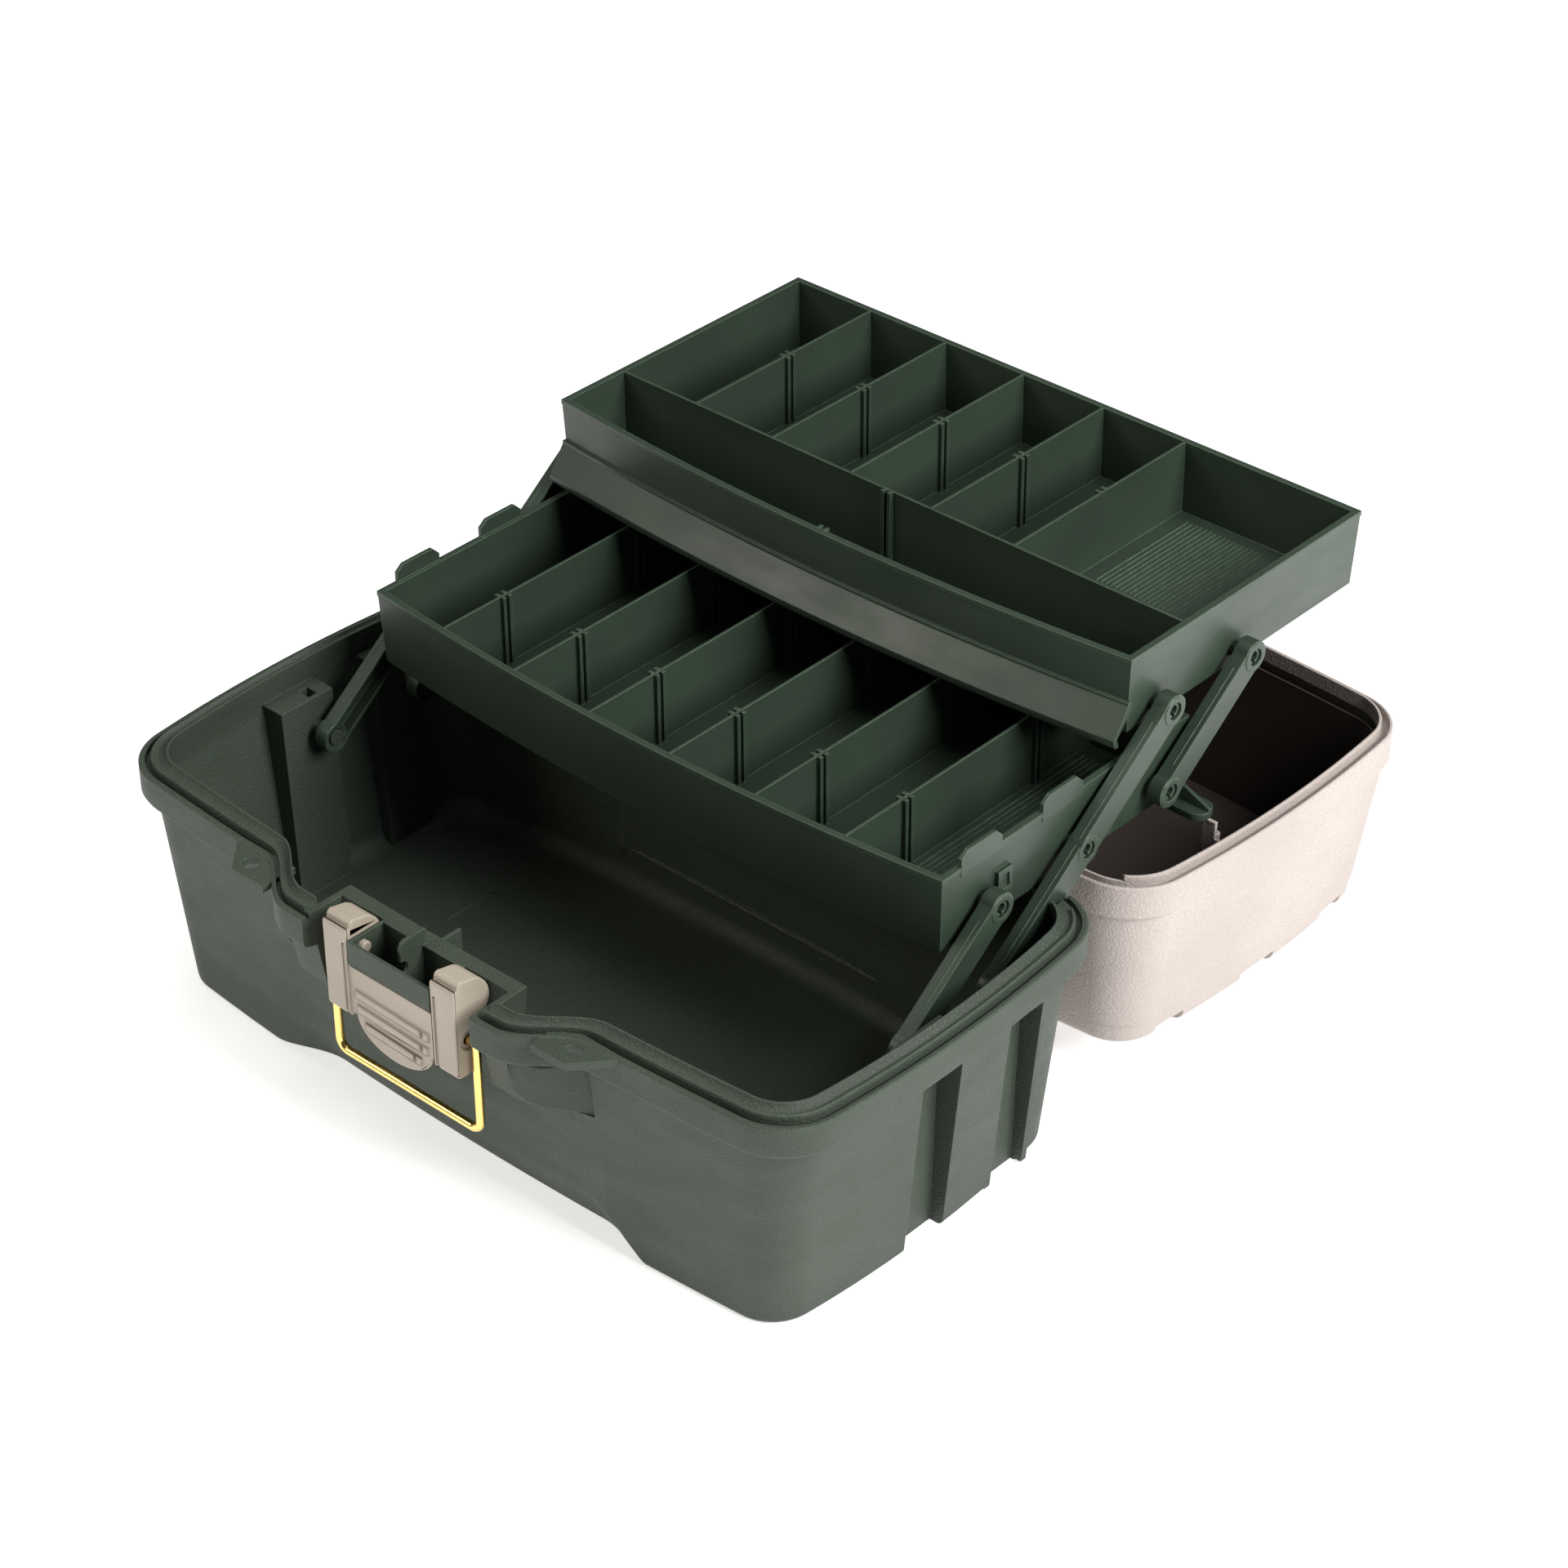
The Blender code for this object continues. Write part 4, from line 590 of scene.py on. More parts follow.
def cut_latch_pocket(tub):
    low = (-POCKET_X, -145 * MM, POCKET_LOW_Z - OVER)
    cut(tub, box(low, (POCKET_X, POCKET_Y, RIM_Z + 3 * OVER)), "pocket")
    # The tongue stops at the pocket, where the wall is level with the rim.
    half = POCKET_X + TUB_WALL
    cut(tub, box((-half, -145 * MM, RIM_Z), (half, -95 * MM, RIM_Z + 3 * OVER)), "ring_top")


def cut_cell(tub):
    inside = cell_outline(CELL_WALL, RIM_Z + OVER, -105.2 * MM)
    spans = ((-CELL_X + CELL_WALL, -0.8 * MM), (0.8 * MM, CELL_X - CELL_WALL))
    for number, (low_x, high_x) in enumerate(spans):
        cut(tub, prism_x(inside, low_x, high_x), f"cell_inside_{number}")
    low = (-0.9 * MM, CELL_FRONT_Y + CELL_WALL, CELL_LIP_Z + 2 * MM)
    cut(tub, box(low, (0.9 * MM, -117.6 * MM, RIM_Z + OVER)), "cell_front_gap")
    y, z = LATCH_PIVOT
    cut(tub, rod_x(-CELL_X - OVER, CELL_X + OVER, y, z, 3.3 * MM), "latch_pin_holes")


def cut_band_scoops(tub):
    """Hollows under the band beside the latch pocket, each with an upright outer end."""
    outline = [(62, -116.6), (70, -113), (80, -106.8), (88, -102.2), (94.5, -99.3), (94.5, -125), (62, -125)]
    scoop = prism_z([(x * MM, y * MM) for x, y in outline], 73 * MM, 98 * MM)
    cut(tub, mirrored_x(scoop), "band_scoops")


def add_ears(tub):
    """Flat ears with a hole for a padlock, in the bend of the rim."""
    outline = [
        (117 * MM, -103 * MM), (112 * MM, -107.4 * MM), (99.5 * MM, -121.5 * MM), (80 * MM, -121.5 * MM),
        (80 * MM, -103 * MM),
    ]
    ear = prism_z(outline, RIM_Z - 4 * MM, RIM_Z - 0.4 * MM)
    join(tub, mirrored_x(ear), "ears")


def cut_ear_holes(tub):
    holes = mirrored_x(rod_z(96.5 * MM, -113.3 * MM, RIM_Z - 12 * MM, RIM_Z + 12 * MM, 4.2 * MM))
    cut(tub, holes, "ear_holes")


def knuckle_spans():
    """(low x, high x, on the lid) for the right-hand hinge."""
    return ((HINGE_X - 18 * MM, HINGE_X - 10.1 * MM, False), (HINGE_X - 9.5 * MM, HINGE_X + 9.5 * MM, True),
            (HINGE_X + 10.1 * MM, HINGE_X + 18 * MM, False))


def add_knuckles(obj, y, z, on_lid):
    """Hinge knuckles, each with an arm back to the rim of the tub or the lid."""
    away = 1 if on_lid else -1
    shoulder = 0.6 * MM
    start = math.asin(shoulder / KNUCKLE_RADIUS)
    curve = [(-away * KNUCKLE_RADIUS * math.cos(a), KNUCKLE_RADIUS * math.sin(a))
             for a in spread(math.pi - start, -math.pi / 2, 18)]
    outline = curve + [(away * 9 * MM, -KNUCKLE_RADIUS), (away * 9 * MM, shoulder)]
    wanted = [span for span in knuckle_spans() if span[2] == on_lid]
    for number, (low_x, high_x, _) in enumerate(wanted):
        solid = prism_x([(y + a, z + b) for a, b in outline], low_x, high_x)
        join(obj, mirrored_x(solid), f"knuckle_{number}")


def cut_knuckle_room(obj, y, z, on_lid):
    """Room for the other part's knuckles to turn, and the hole for the pin."""
    others = [span for span in knuckle_spans() if span[2] != on_lid]
    for number, (low_x, high_x, _) in enumerate(others):
        room = rod_x(low_x - 0.3 * MM, high_x + 0.3 * MM, y, z, KNUCKLE_CLEAR)
        cut(obj, mirrored_x(room), f"knuckle_room_{number}")
    hole = rod_x(HINGE_X - 25 * MM, HINGE_X + 25 * MM, y, z, HINGE_PIN_RADIUS + 0.35 * MM)
    cut(obj, mirrored_x(hole), "hinge_pin_hole")


def cut_post_forks(tub):
    """A slot down the top of each post, beside the arm's foot."""
    for number, (y, _) in enumerate((FRONT_FOOT, LONG_FOOT)):
        slot = box((184.6 * MM, y - 2.6 * MM, 97 * MM), (191.5 * MM, y + 2.6 * MM, POST_TOP_Z + OVER))
        cut(tub, mirrored_x(slot), f"post_slot_{number}")


def floor_line(start, end, z, half_width, rise):
    """A thin raised line on a floor, with sloping sides."""
    along = Vector((end[0] - start[0], end[1] - start[1]))
    across = Vector((-along.y, along.x)).normalized()
    low, narrow = -0.5 * MM, half_width * 0.4
    section = [(-half_width, low), (half_width, low), (narrow, rise), (-narrow, rise)]
    points = [(start[0] + across.x * a, start[1] + across.y * a, z + b) for a, b in section]
    return extrude_outline(points, (along.x, along.y, 0))


def add_floor_marks(tub):
    """Faint moulded lines on the floor and a bead along the rear wall."""
    z = FLOOR_TOP_Z
    lines = [((-118, 15), (-118, 42)), ((-124, 47), (-127, 71)), ((-127, 71), (-123, 86)),
             ((-143, 45), (-124, 47.6)), ((118, 15), (118, 42)), ((124, 47), (127, 71))]
    marks = []
    for start, end in lines:
        marks.append(floor_line([v * MM for v in start], [v * MM for v in end], z, 0.9 * MM, 0.5 * MM))
    marks.append(rod_z(-118 * MM, 43 * MM, z - 0.5 * MM, z + 1.1 * MM, 1.7 * MM))
    for number, mark in enumerate(marks):
        join(tub, mark, f"floor_mark_{number}")
    join(tub, rod_x(-150 * MM, 78 * MM, 95.6 * MM, 22.3 * MM, 1.6 * MM), "rear_bead")


def build_tub(material):
    tub = object_from(loft(tub_rings()), "tub_shell")
    cut(tub, tub_hollow(), "tub_hollow")
    add_posts(tub)
    add_ramp(tub)
    cut_band_scoops(tub)
    add_ears(tub)
    cut_latch_pocket(tub)
    add_latch_cell(tub)
    cut_cell(tub)
    cut_ear_holes(tub)
    cut_grooves(tub)
    cut_arch(tub)
    cut_arm_notches(tub)
    rear_tongue = box((-186 * MM, 90 * MM, RIM_Z), (186 * MM, 120 * MM, RIM_Z + 2 * OVER))
    cut(tub, rear_tongue, "rear_tongue")
    cut_post_forks(tub)
    add_pivot_pins(tub)
    add_knuckles(tub, *HINGE, on_lid=False)
    cut_knuckle_room(tub, *HINGE, on_lid=False)
    add_floor_marks(tub)
    return finished(tub, material, "tub", ["base_tub"])


# ---- latch and bail --------------------------------------------------------------------------------


def lobe_outline():
    """Side view of a latch lobe as (y, z): a round back, a knob on top, a notch, then the front."""
    y, z = LATCH_PIVOT
    head = 12.9 * MM
    back = arc_points((y, z), head, math.radians(-8), math.radians(66), 12)
    top = arc_points((y - 2.6 * MM, z + 11.2 * MM), 2.4 * MM, math.radians(60), math.radians(178), 9)
    notch = [(y - 5.1 * MM, z + 10.2 * MM), (y - 5.8 * MM, z + 10.0 * MM)]
    front = [(y - 6.1 * MM, z + 11.0 * MM), (y - 7.0 * MM, z + 10.8 * MM), (LATCH_FRONT_Y, z + 9.4 * MM)]
    low_z, turn = 76.5 * MM, 2.6 * MM
    low = arc_points((LATCH_FRONT_Y + turn, low_z + turn), turn, math.pi, 1.5 * math.pi, 6)
    rear = [(-112.5 * MM, low_z), (-110.5 * MM, 79 * MM), (-110.5 * MM, 98 * MM)]
    return back + top + notch + front + low + rear


def latch_rib(low_x, high_x, z, slant, front_y):
    """A raised slanted bar on the latch's plate."""
    half = 2.1 * MM
    outline = [(low_x, z + half), (low_x, z - half), (high_x, z - half - slant), (high_x, z + half - slant)]
    return prism_y(outline, front_y - 0.9 * MM, front_y + 0.6 * MM)


def build_latch(material):
    gap = CELL_X + 0.5 * MM
    y, z = LATCH_PIVOT
    lower = [(22.5 * math.cos(a) * MM, (79 - 14 * math.sin(a)) * MM) for a in spread(0, math.pi, 28)]
    plate_top = 101.6 * MM
    front_y = LATCH_FRONT_Y + 0.9 * MM
    plate = prism_y([(-gap - 1 * MM, plate_top), (-gap - 1 * MM, 79 * MM)] + lower[::-1]
                    + [(gap + 1 * MM, 79 * MM), (gap + 1 * MM, plate_top)], front_y, front_y + 2.2 * MM)
    latch = object_from(plate, "latch_body")
    edge = [(front_y, plate_top - 1 * MM), (front_y + 2.2 * MM, plate_top - 1 * MM),
            (front_y + 2.2 * MM, plate_top), (front_y, plate_top + 2.2 * MM)]
    join(latch, prism_x(edge, -gap - 0.9 * MM, gap + 0.9 * MM), "plate_edge")
    join(latch, mirrored_x(prism_x(lobe_outline(), gap, LATCH_X)), "lobes")
    for number, (reach, height) in enumerate(LATCH_RIBS):
        join(latch, latch_rib(-reach, reach, height, 1.2 * MM, front_y), f"rib_{number}")
        dimple = rod_y(reach - 4 * MM, front_y - 2 * MM, front_y - 0.3 * MM, height - 1.0 * MM, 0.9 * MM)
        cut(latch, dimple, f"rib_dimple_{number}")
    low = (gap + 1.8 * MM, LATCH_FRONT_Y - OVER, 76 * MM)
    groove = box(low, (gap + 2.6 * MM, LATCH_FRONT_Y + 0.7 * MM, 114 * MM))
    cut(latch, mirrored_x(groove), "lobe_groove")
    stubs = mirrored_x(rod_x(CELL_X - 4 * MM, gap + 2 * MM, y, z, 2.9 * MM))
    join(latch, stubs, "pivot_stubs")
    bail_y, bail_z = BAIL_PIVOT
    dish = mirrored_x(rod_x(LATCH_X - 0.8 * MM, LATCH_X + OVER, bail_y, bail_z, 4.6 * MM))
    cut(latch, dish, "bail_dish")
    holes = mirrored_x(rod_x(LATCH_X - 5 * MM, LATCH_X + OVER, bail_y, bail_z, BAIL_WIRE + 0.4 * MM))
    cut(latch, holes, "bail_holes")
    return finished(latch, material, "latch", ["latch"], 0.8 * MM)


def wire(name, path, radius, sides=20):
    """A round wire through points given as (x, y, z)."""
    curve = bpy.data.curves.new(name, "CURVE")
    curve.dimensions = "3D"
    curve.bevel_depth = radius
    curve.bevel_resolution = sides // 4
    curve.use_fill_caps = True
    spline = curve.splines.new("POLY")
    spline.points.add(len(path) - 1)
    for point, place in zip(spline.points, path):
        point.co = (*place, 1)
    source = bpy.data.objects.new(name, curve)
    bpy.context.scene.collection.objects.link(source)
    mesh = bpy.data.meshes.new_from_object(source.evaluated_get(bpy.context.evaluated_depsgraph_get()))
    bpy.data.objects.remove(source)
    bm = bmesh.new()
    bm.from_mesh(mesh)
    bpy.data.meshes.remove(mesh)
    bmesh.ops.remove_doubles(bm, verts=bm.verts, dist=0.01 * MM)
    return object_from(bm, name)


def build_bail(material):
    """A wire loop with round lower corners, whose ends turn in to the latch."""
    y, z = BAIL_PIVOT
    big, small = 5.5 * MM, 2.6 * MM
    upper = arc_points((BAIL_X - small, z - small), small, math.pi / 2, 0, 8)
    lower = arc_points((BAIL_X - big, BAIL_LOW_Z + big), big, 0, -math.pi / 2, 12)
    half = [(LATCH_X - 3.6 * MM, z)] + upper + lower
    path = half + [(-x, height) for x, height in half[::-1]]
    bail = wire("bail_wire", [(x, y, height) for x, height in path], BAIL_WIRE)
    bail.data.shade_smooth()
    bail.data.materials.clear()
    bail.data.materials.append(material)
    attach(bail, "bail")
    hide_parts("bail")
    return bail


# ---- arms ------------------------------------------------------------------------------------------


def arm_profile(length, end_radius, half_width):
    """A bar with round ends, its first pivot at the origin and the last at (0, length)."""
    lean = math.asin(half_width / end_radius) if half_width < end_radius else math.pi / 2
    open_side = math.pi / 2 - lean
    low = arc_points((0, 0), end_radius, -math.pi - open_side, open_side, 18)
    return low + [(-x, length - y) for x, y in low]


def build_arm(name, side, foot, pivots, body, material):
    """A channel with its web outside, a parting line, nubs on its edge, and a bossed hole at each pivot."""
    length = LINK * (pivots - 1)
    web, wall = 1.8 * MM, 1.5 * MM
    outline = arm_profile(length, ARM_END_RADIUS, ARM_HALF_WIDTH)
    inside = arm_profile(length, ARM_END_RADIUS - wall, ARM_HALF_WIDTH - wall)
    arm = object_from(prism_x(outline, ARM_INNER_X, ARM_OUTER_X - 0.5 * MM), f"{name}_channel")
    cut(arm, prism_x(inside, ARM_INNER_X - OVER, ARM_OUTER_X - web), "hollow")
    for number in range(pivots):
        boss = rod_x(ARM_INNER_X + 1.5 * MM, ARM_OUTER_X, 0, LINK * number, PIN_HOLE_RADIUS + 2.5 * MM)
        join(arm, boss, f"boss_{number}")
    for number in range(pivots):
        hole = rod_x(ARM_INNER_X - OVER, ARM_OUTER_X + OVER, 0, LINK * number, PIN_HOLE_RADIUS)
        cut(arm, hole, f"hole_{number}")
    turn = Matrix.Rotation(OPEN_ANGLE - math.pi / 2, 4, "X")
    place = Matrix.Translation((0, *foot)) @ Matrix.Diagonal((side, 1, 1, 1)) @ turn
    line_x = (ARM_INNER_X + ARM_OUTER_X) / 2 + 0.6 * MM
    for edge in (-1, 1):
        line = box((line_x - 0.15 * MM, edge * ARM_HALF_WIDTH - 0.2 * MM, 10 * MM),
                   (line_x + 0.15 * MM, edge * ARM_HALF_WIDTH + 0.2 * MM, length - 10 * MM))
        join(arm, line, f"parting_{edge}")
    for number in range(pivots):
        for step in (-1, 1):
            spot = LINK * number + step * 13 * MM
            if 0 < spot < length:
                nub = box((line_x - 3.4 * MM, ARM_HALF_WIDTH - 0.4 * MM, spot - 1 * MM),
                          (line_x - 1.6 * MM, ARM_HALF_WIDTH + 0.5 * MM, spot + 1 * MM))
                join(arm, nub, f"nub_{number}_{step}")
    baked(arm)
    arm.data.transform(place)
    if side < 0:
        arm.data.flip_normals()
    return finished(arm, material, body, [name])


# ---- trays -----------------------------------------------------------------------------------------


def tray_front(x, front_y, inset=0.0):
    """The bowed front line of a tray."""
    half = TRAY_HALF_LENGTH
    return front_y + inset - TRAY_BOW * (1 - (x / half) ** 2)


def tray_ring(z, front_y, rear_y, inset):
    half = TRAY_HALF_LENGTH - inset
    front = [(x, tray_front(x, front_y, inset), z) for x in spread(-half, half, TRAY_STEPS)]
    return front + [(half, rear_y - inset, z), (-half, rear_y - inset, z)]


def bay(x_low, x_high, y_low, y_high, z_low, z_high, front_y=None):
    """The space of one bay. Its front follows the bowed front wall when front_y is given."""
    xs = spread(x_low, x_high, max(2, round((x_high - x_low) / (8 * MM))))
    if front_y is None:
        front = [(x_low, y_low), (x_high, y_low)]
    else:
        front = [(x, tray_front(x, front_y, TRAY_DRAFT + TRAY_WALL)) for x in xs]
    return prism_z(front + [(x_high, y_high), (x_low, y_high)], z_low, z_high)


def bay_edges(dividers):
    wall = TRAY_HALF_LENGTH - TRAY_DRAFT - TRAY_WALL
    lows = [-wall] + [x + DIVIDER / 2 for x in dividers]
    highs = [x - DIVIDER / 2 for x in dividers] + [wall]
    return list(zip(lows, highs))


def tray_shell(name, front_y, rim_z):
    rear_y = front_y + TRAY_DEPTH
    low_z = rim_z - TRAY_HEIGHT
    lip_z = rim_z - 2.4 * MM
    profile = [(low_z, TRAY_DRAFT), (lip_z, 0.3 * MM), (lip_z, 0.0), (rim_z, 0.0)]
    return object_from(loft([tray_ring(z, front_y, rear_y, inset) for z, inset in profile]), name)


def add_tray_pins(tray, places):
    for number, (y, z) in enumerate(places):
        wall = TRAY_HALF_LENGTH - TRAY_DRAFT - TRAY_WALL + 0.3 * MM
        pin = rod_x(wall, SNAP_END_X, y, z, PIN_RADIUS)
        join(tray, mirrored_x(pin), f"{tray.name}_pin_{number}")
        core = rod_x(ARM_INNER_X + 1 * MM, SNAP_END_X + OVER, y, z, PIN_RADIUS - 1.3 * MM)
        cut(tray, mirrored_x(core), f"{tray.name}_core_{number}")
        low = (ARM_INNER_X + 1 * MM, y - 0.7 * MM, z - 5 * MM)
        split = box(low, (SNAP_END_X + OVER, y + 0.7 * MM, z + 5 * MM))
        cut(tray, mirrored_x(split), f"{tray.name}_split_{number}")


def slot_posts(x, y, side, z_low, z_high):
    """Two thin ribs on one face of a divider that runs along Y. side is the face's direction."""
    start = x + side * DIVIDER / 2
    ends = sorted((start - side * 0.3 * MM, start + side * SLOT_REACH))
    half = SLOT_POST / 2
    return [box((ends[0], middle - half, z_low), (ends[1], middle + half, z_high))
            for middle in slot_middles(y)]


def slot_posts_across(x, y, side, z_low, z_high):
    """The same on a wall that runs along X."""
    ends = sorted((y - side * 0.3 * MM, y + side * SLOT_REACH))
    half = SLOT_POST / 2
    return [box((middle - half, ends[0], z_low), (middle + half, ends[1], z_high))
            for middle in slot_middles(x)]


def slot_middles(place):
    return [place + edge * (SLOT_GAP + SLOT_POST) / 2 for edge in (-1, 1)]


def add_floor_ribs(tray, x_low, x_high, y_low, y_high, z):
    """Fine ribs along Y on the floor of one bay."""
    count = int((x_high - x_low) / (2.6 * MM))
    ribs = []
    for x in spread(x_low, x_high, count):
        section = [(-0.75, -0.3), (0.75, -0.3), (0.3, 0.5), (-0.3, 0.5)]
        ribs.append(prism_y([(x + a * MM, z + b * MM) for a, b in section], y_low, y_high))
    join(tray, merged(*ribs), f"{tray.name}_ribs")


def add_stacking_tabs(tray, rim_z):
    """Tabs on the end walls that stand up over the rim."""
    section = [(0, -4), (0, 4.6), (4, 7.6), (22, 7.6), (26, 3.6), (26, -4)]
    for number, y in enumerate((41 * MM, 93.5 * MM)):
        outline = [(y + a * MM, rim_z + b * MM) for a, b in section]
        tab = prism_x(outline, TRAY_HALF_LENGTH - TRAY_WALL - 0.2 * MM, TRAY_HALF_LENGTH + 0.3 * MM)
        join(tray, mirrored_x(tab), f"stacking_tab_{number}")


def add_arm_hooks(tray):
    """Small open blocks on the end walls, beside the arms."""
    for number, (y, z) in enumerate(((64 * MM, 143 * MM), (131 * MM, 136 * MM))):
        hook = box((TRAY_HALF_LENGTH - 3 * MM, y, z - 12 * MM), (ARM_INNER_X - 0.6 * MM, y + 9 * MM, z))
        join(tray, mirrored_x(hook), f"arm_hook_{number}")
        low = (TRAY_HALF_LENGTH + 0.2 * MM, y + 2 * MM, z - 9.5 * MM)
        window = box(low, (ARM_INNER_X + OVER, y + 7 * MM, z - 2.5 * MM))
        cut(tray, mirrored_x(window), f"hook_window_{number}")


def add_tray_ears(tray, rim_z):
    """The round feet that stand out from the rear of the end walls, each with a web above it."""
    wall_x = TRAY_HALF_LENGTH - TRAY_DRAFT - 0.6 * MM
    foot_z = rim_z - TRAY_HEIGHT - 2.2 * MM
    web = [(wall_x, foot_z), (EAR_END_X, foot_z), (EAR_END_X, foot_z + 5 * MM), (wall_x, foot_z + 15 * MM)]
    join(tray, mirrored_x(prism_y(web, EAR_Y - 0.8 * MM, EAR_Y + 0.8 * MM)), "ear_web")
    reach = EAR_HALF_WIDTH
    end = arc_points((EAR_END_X - reach, EAR_Y), reach, -math.pi / 2, math.pi / 2, 14)
    foot = prism_z([(wall_x, EAR_Y - reach)] + end + [(wall_x, EAR_Y + reach)], foot_z, foot_z + 3.4 * MM)
    join(tray, mirrored_x(foot), "ear_foot")


def build_lower_tray(material):
    front_y, rim_z = LOWER_TRAY_FRONT_Y, LOWER_TRAY_RIM_Z
    rear_y = front_y + TRAY_DEPTH
    floor_z = rim_z - TRAY_HEIGHT + TRAY_FLOOR
    tray = tray_shell("lower_tray_shell", front_y, rim_z)
    add_stacking_tabs(tray, rim_z)
    add_arm_hooks(tray)
    add_tray_ears(tray, rim_z)
    add_tray_pins(tray, (FRONT_HEAD, LONG_MIDDLE, UPPER_FOOT))
    bays = [bay(low, high, 0, rear_y - TRAY_DRAFT - TRAY_WALL, floor_z, rim_z + 2 * OVER, front_y)
            for low, high in bay_edges(LOWER_DIVIDERS)]
    cut(tray, merged(*bays), "lower_bays")
    posts = []
    for x in LOWER_DIVIDERS:
        for y in (65 * MM, 151 * MM):
            for side in (-1, 1):
                posts += slot_posts(x, y, side, floor_z - 0.5 * MM, rim_z + SLOT_RISE)
    join(tray, merged(*posts), "lower_slot_posts")
    last = LOWER_DIVIDERS[-1]
    add_floor_ribs(tray, last + 4 * MM, TRAY_HALF_LENGTH - 8 * MM, 46 * MM, 181 * MM, floor_z)
    return finished(tray, material, "lower_tray", ["lower_tray"])


def add_skirt(tray, front_y, rim_z):
    """The flared apron along the front of the upper tray, with a rolled lower edge."""
    crease_z = rim_z - SKIRT_CREASE_DROP
    lip_z = rim_z - SKIRT_DROP
    thick = 1.6 * MM
    deep, tall = 2.2 * MM, 4.6 * MM
    roll = [(-SKIRT_FLARE + deep * (1 - math.cos(a)), lip_z + tall * (1 - math.sin(a)))
            for a in spread(0, math.pi / 2 * 0.8, 6)]
    inner = -SKIRT_FLARE + thick
    section = [(2 * MM, crease_z + 1.5 * MM), (-0.3 * MM, crease_z + 1.5 * MM), (-0.3 * MM, crease_z)] + roll
    section += [(inner + 1.6 * MM, lip_z + 0.4 * MM), (inner + 0.4 * MM, lip_z + tall),
                (2 * MM, crease_z - 3 * MM)]
    half = TRAY_HALF_LENGTH - 0.2 * MM
    stations = spread(-half, half, TRAY_STEPS)
    join(tray, loft([[(x, tray_front(x, front_y) + y, z) for y, z in section] for x in stations]), "skirt")


def build_upper_tray(material):
    front_y, rim_z = UPPER_TRAY_FRONT_Y, UPPER_TRAY_RIM_Z
    rear_y = front_y + TRAY_DEPTH
    floor_z = rim_z - TRAY_HEIGHT + TRAY_FLOOR
    tray = tray_shell("upper_tray_shell", front_y, rim_z)
    add_skirt(tray, front_y, rim_z)
    add_tray_pins(tray, (LONG_HEAD, UPPER_HEAD))
    wall = TRAY_HALF_LENGTH - TRAY_DRAFT - TRAY_WALL
    divider_front = UPPER_LONG_DIVIDER_Y - DIVIDER / 2
    divider_rear = UPPER_LONG_DIVIDER_Y + DIVIDER / 2
    bays = [bay(-wall, wall, 0, divider_front, floor_z, rim_z + OVER, front_y)]
    bays += [bay(low, high, divider_rear, rear_y - TRAY_DRAFT - TRAY_WALL, floor_z, rim_z + OVER)
             for low, high in bay_edges(UPPER_DIVIDERS)]
    cut(tray, merged(*bays), "upper_bays")
    posts = []
    for x in UPPER_DIVIDERS:
        for side in (-1, 1) if x < UPPER_DIVIDERS[-1] else (-1,):
            posts += slot_posts(x, 251.5 * MM, side, floor_z - 0.5 * MM, rim_z + SLOT_RISE)
    posts += slot_posts_across(0, divider_front, -1, floor_z - 0.5 * MM, rim_z + SLOT_RISE)
    wall_y = tray_front(0, front_y, TRAY_DRAFT + TRAY_WALL)
    posts += slot_posts_across(0, wall_y, 1, floor_z - 0.5 * MM, rim_z + SLOT_RISE)
    join(tray, merged(*posts), "upper_slot_posts")
    last = UPPER_DIVIDERS[-1]
    add_floor_ribs(tray, last + 9 * MM, TRAY_HALF_LENGTH - 10 * MM, 237 * MM, 304 * MM, floor_z)
    disc = rod_z(last + 50 * MM, 233 * MM, floor_z - 0.3 * MM, floor_z + 0.35 * MM, 4 * MM)
    join(tray, disc, "gate_mark")
    return finished(tray, material, "upper_tray", ["upper_tray"])


# ---- lid -------------------------------------------------------------------------------------------


def lid_ring(z, inset, bump=0.0, hollow=False, radius=None):
    return ring(LID_RIM_Z + z, inset, bump, hollow, radius, flip=True, centre_y=LID_CENTRE_Y)


def lid_wall_inset(z):
    """Inset of the outer wall at z under the rim plane, between the band and the top."""
    share = (-z - LID_BAND) / (LID_HEIGHT - LID_BAND)
    low, top = 2.4 * MM, LID_TOP_INSET
    return low + (top - low) * share


def lid_rings():
    """Outside of the lid from its top to the rim: the wall with a fine step, the band, a groove, a ridge."""

    def wall(z, more=0.0, bump=0.0):
        inset = lid_wall_inset(z) + more
        return lid_ring(z, (inset, inset), bump)

    top = -LID_HEIGHT
    edge = [wall(z, more) for z, more in rounded(top, 5 * MM, 7)]
    step = [wall(top + 12 * MM), wall(top + 12.3 * MM, -0.45 * MM)]
    side = [wall(-45 * MM, -0.45 * MM), wall(-30 * MM, -0.45 * MM, 0.4 * BUMP),
            wall(-LID_BAND - 1.0 * MM, -0.45 * MM, 0.86 * BUMP)]
    rim = [lid_ring(z * MM, (inset * MM, inset * MM), BUMP) for inset, z in LID_PROFILE]
    return edge + step + side + rim


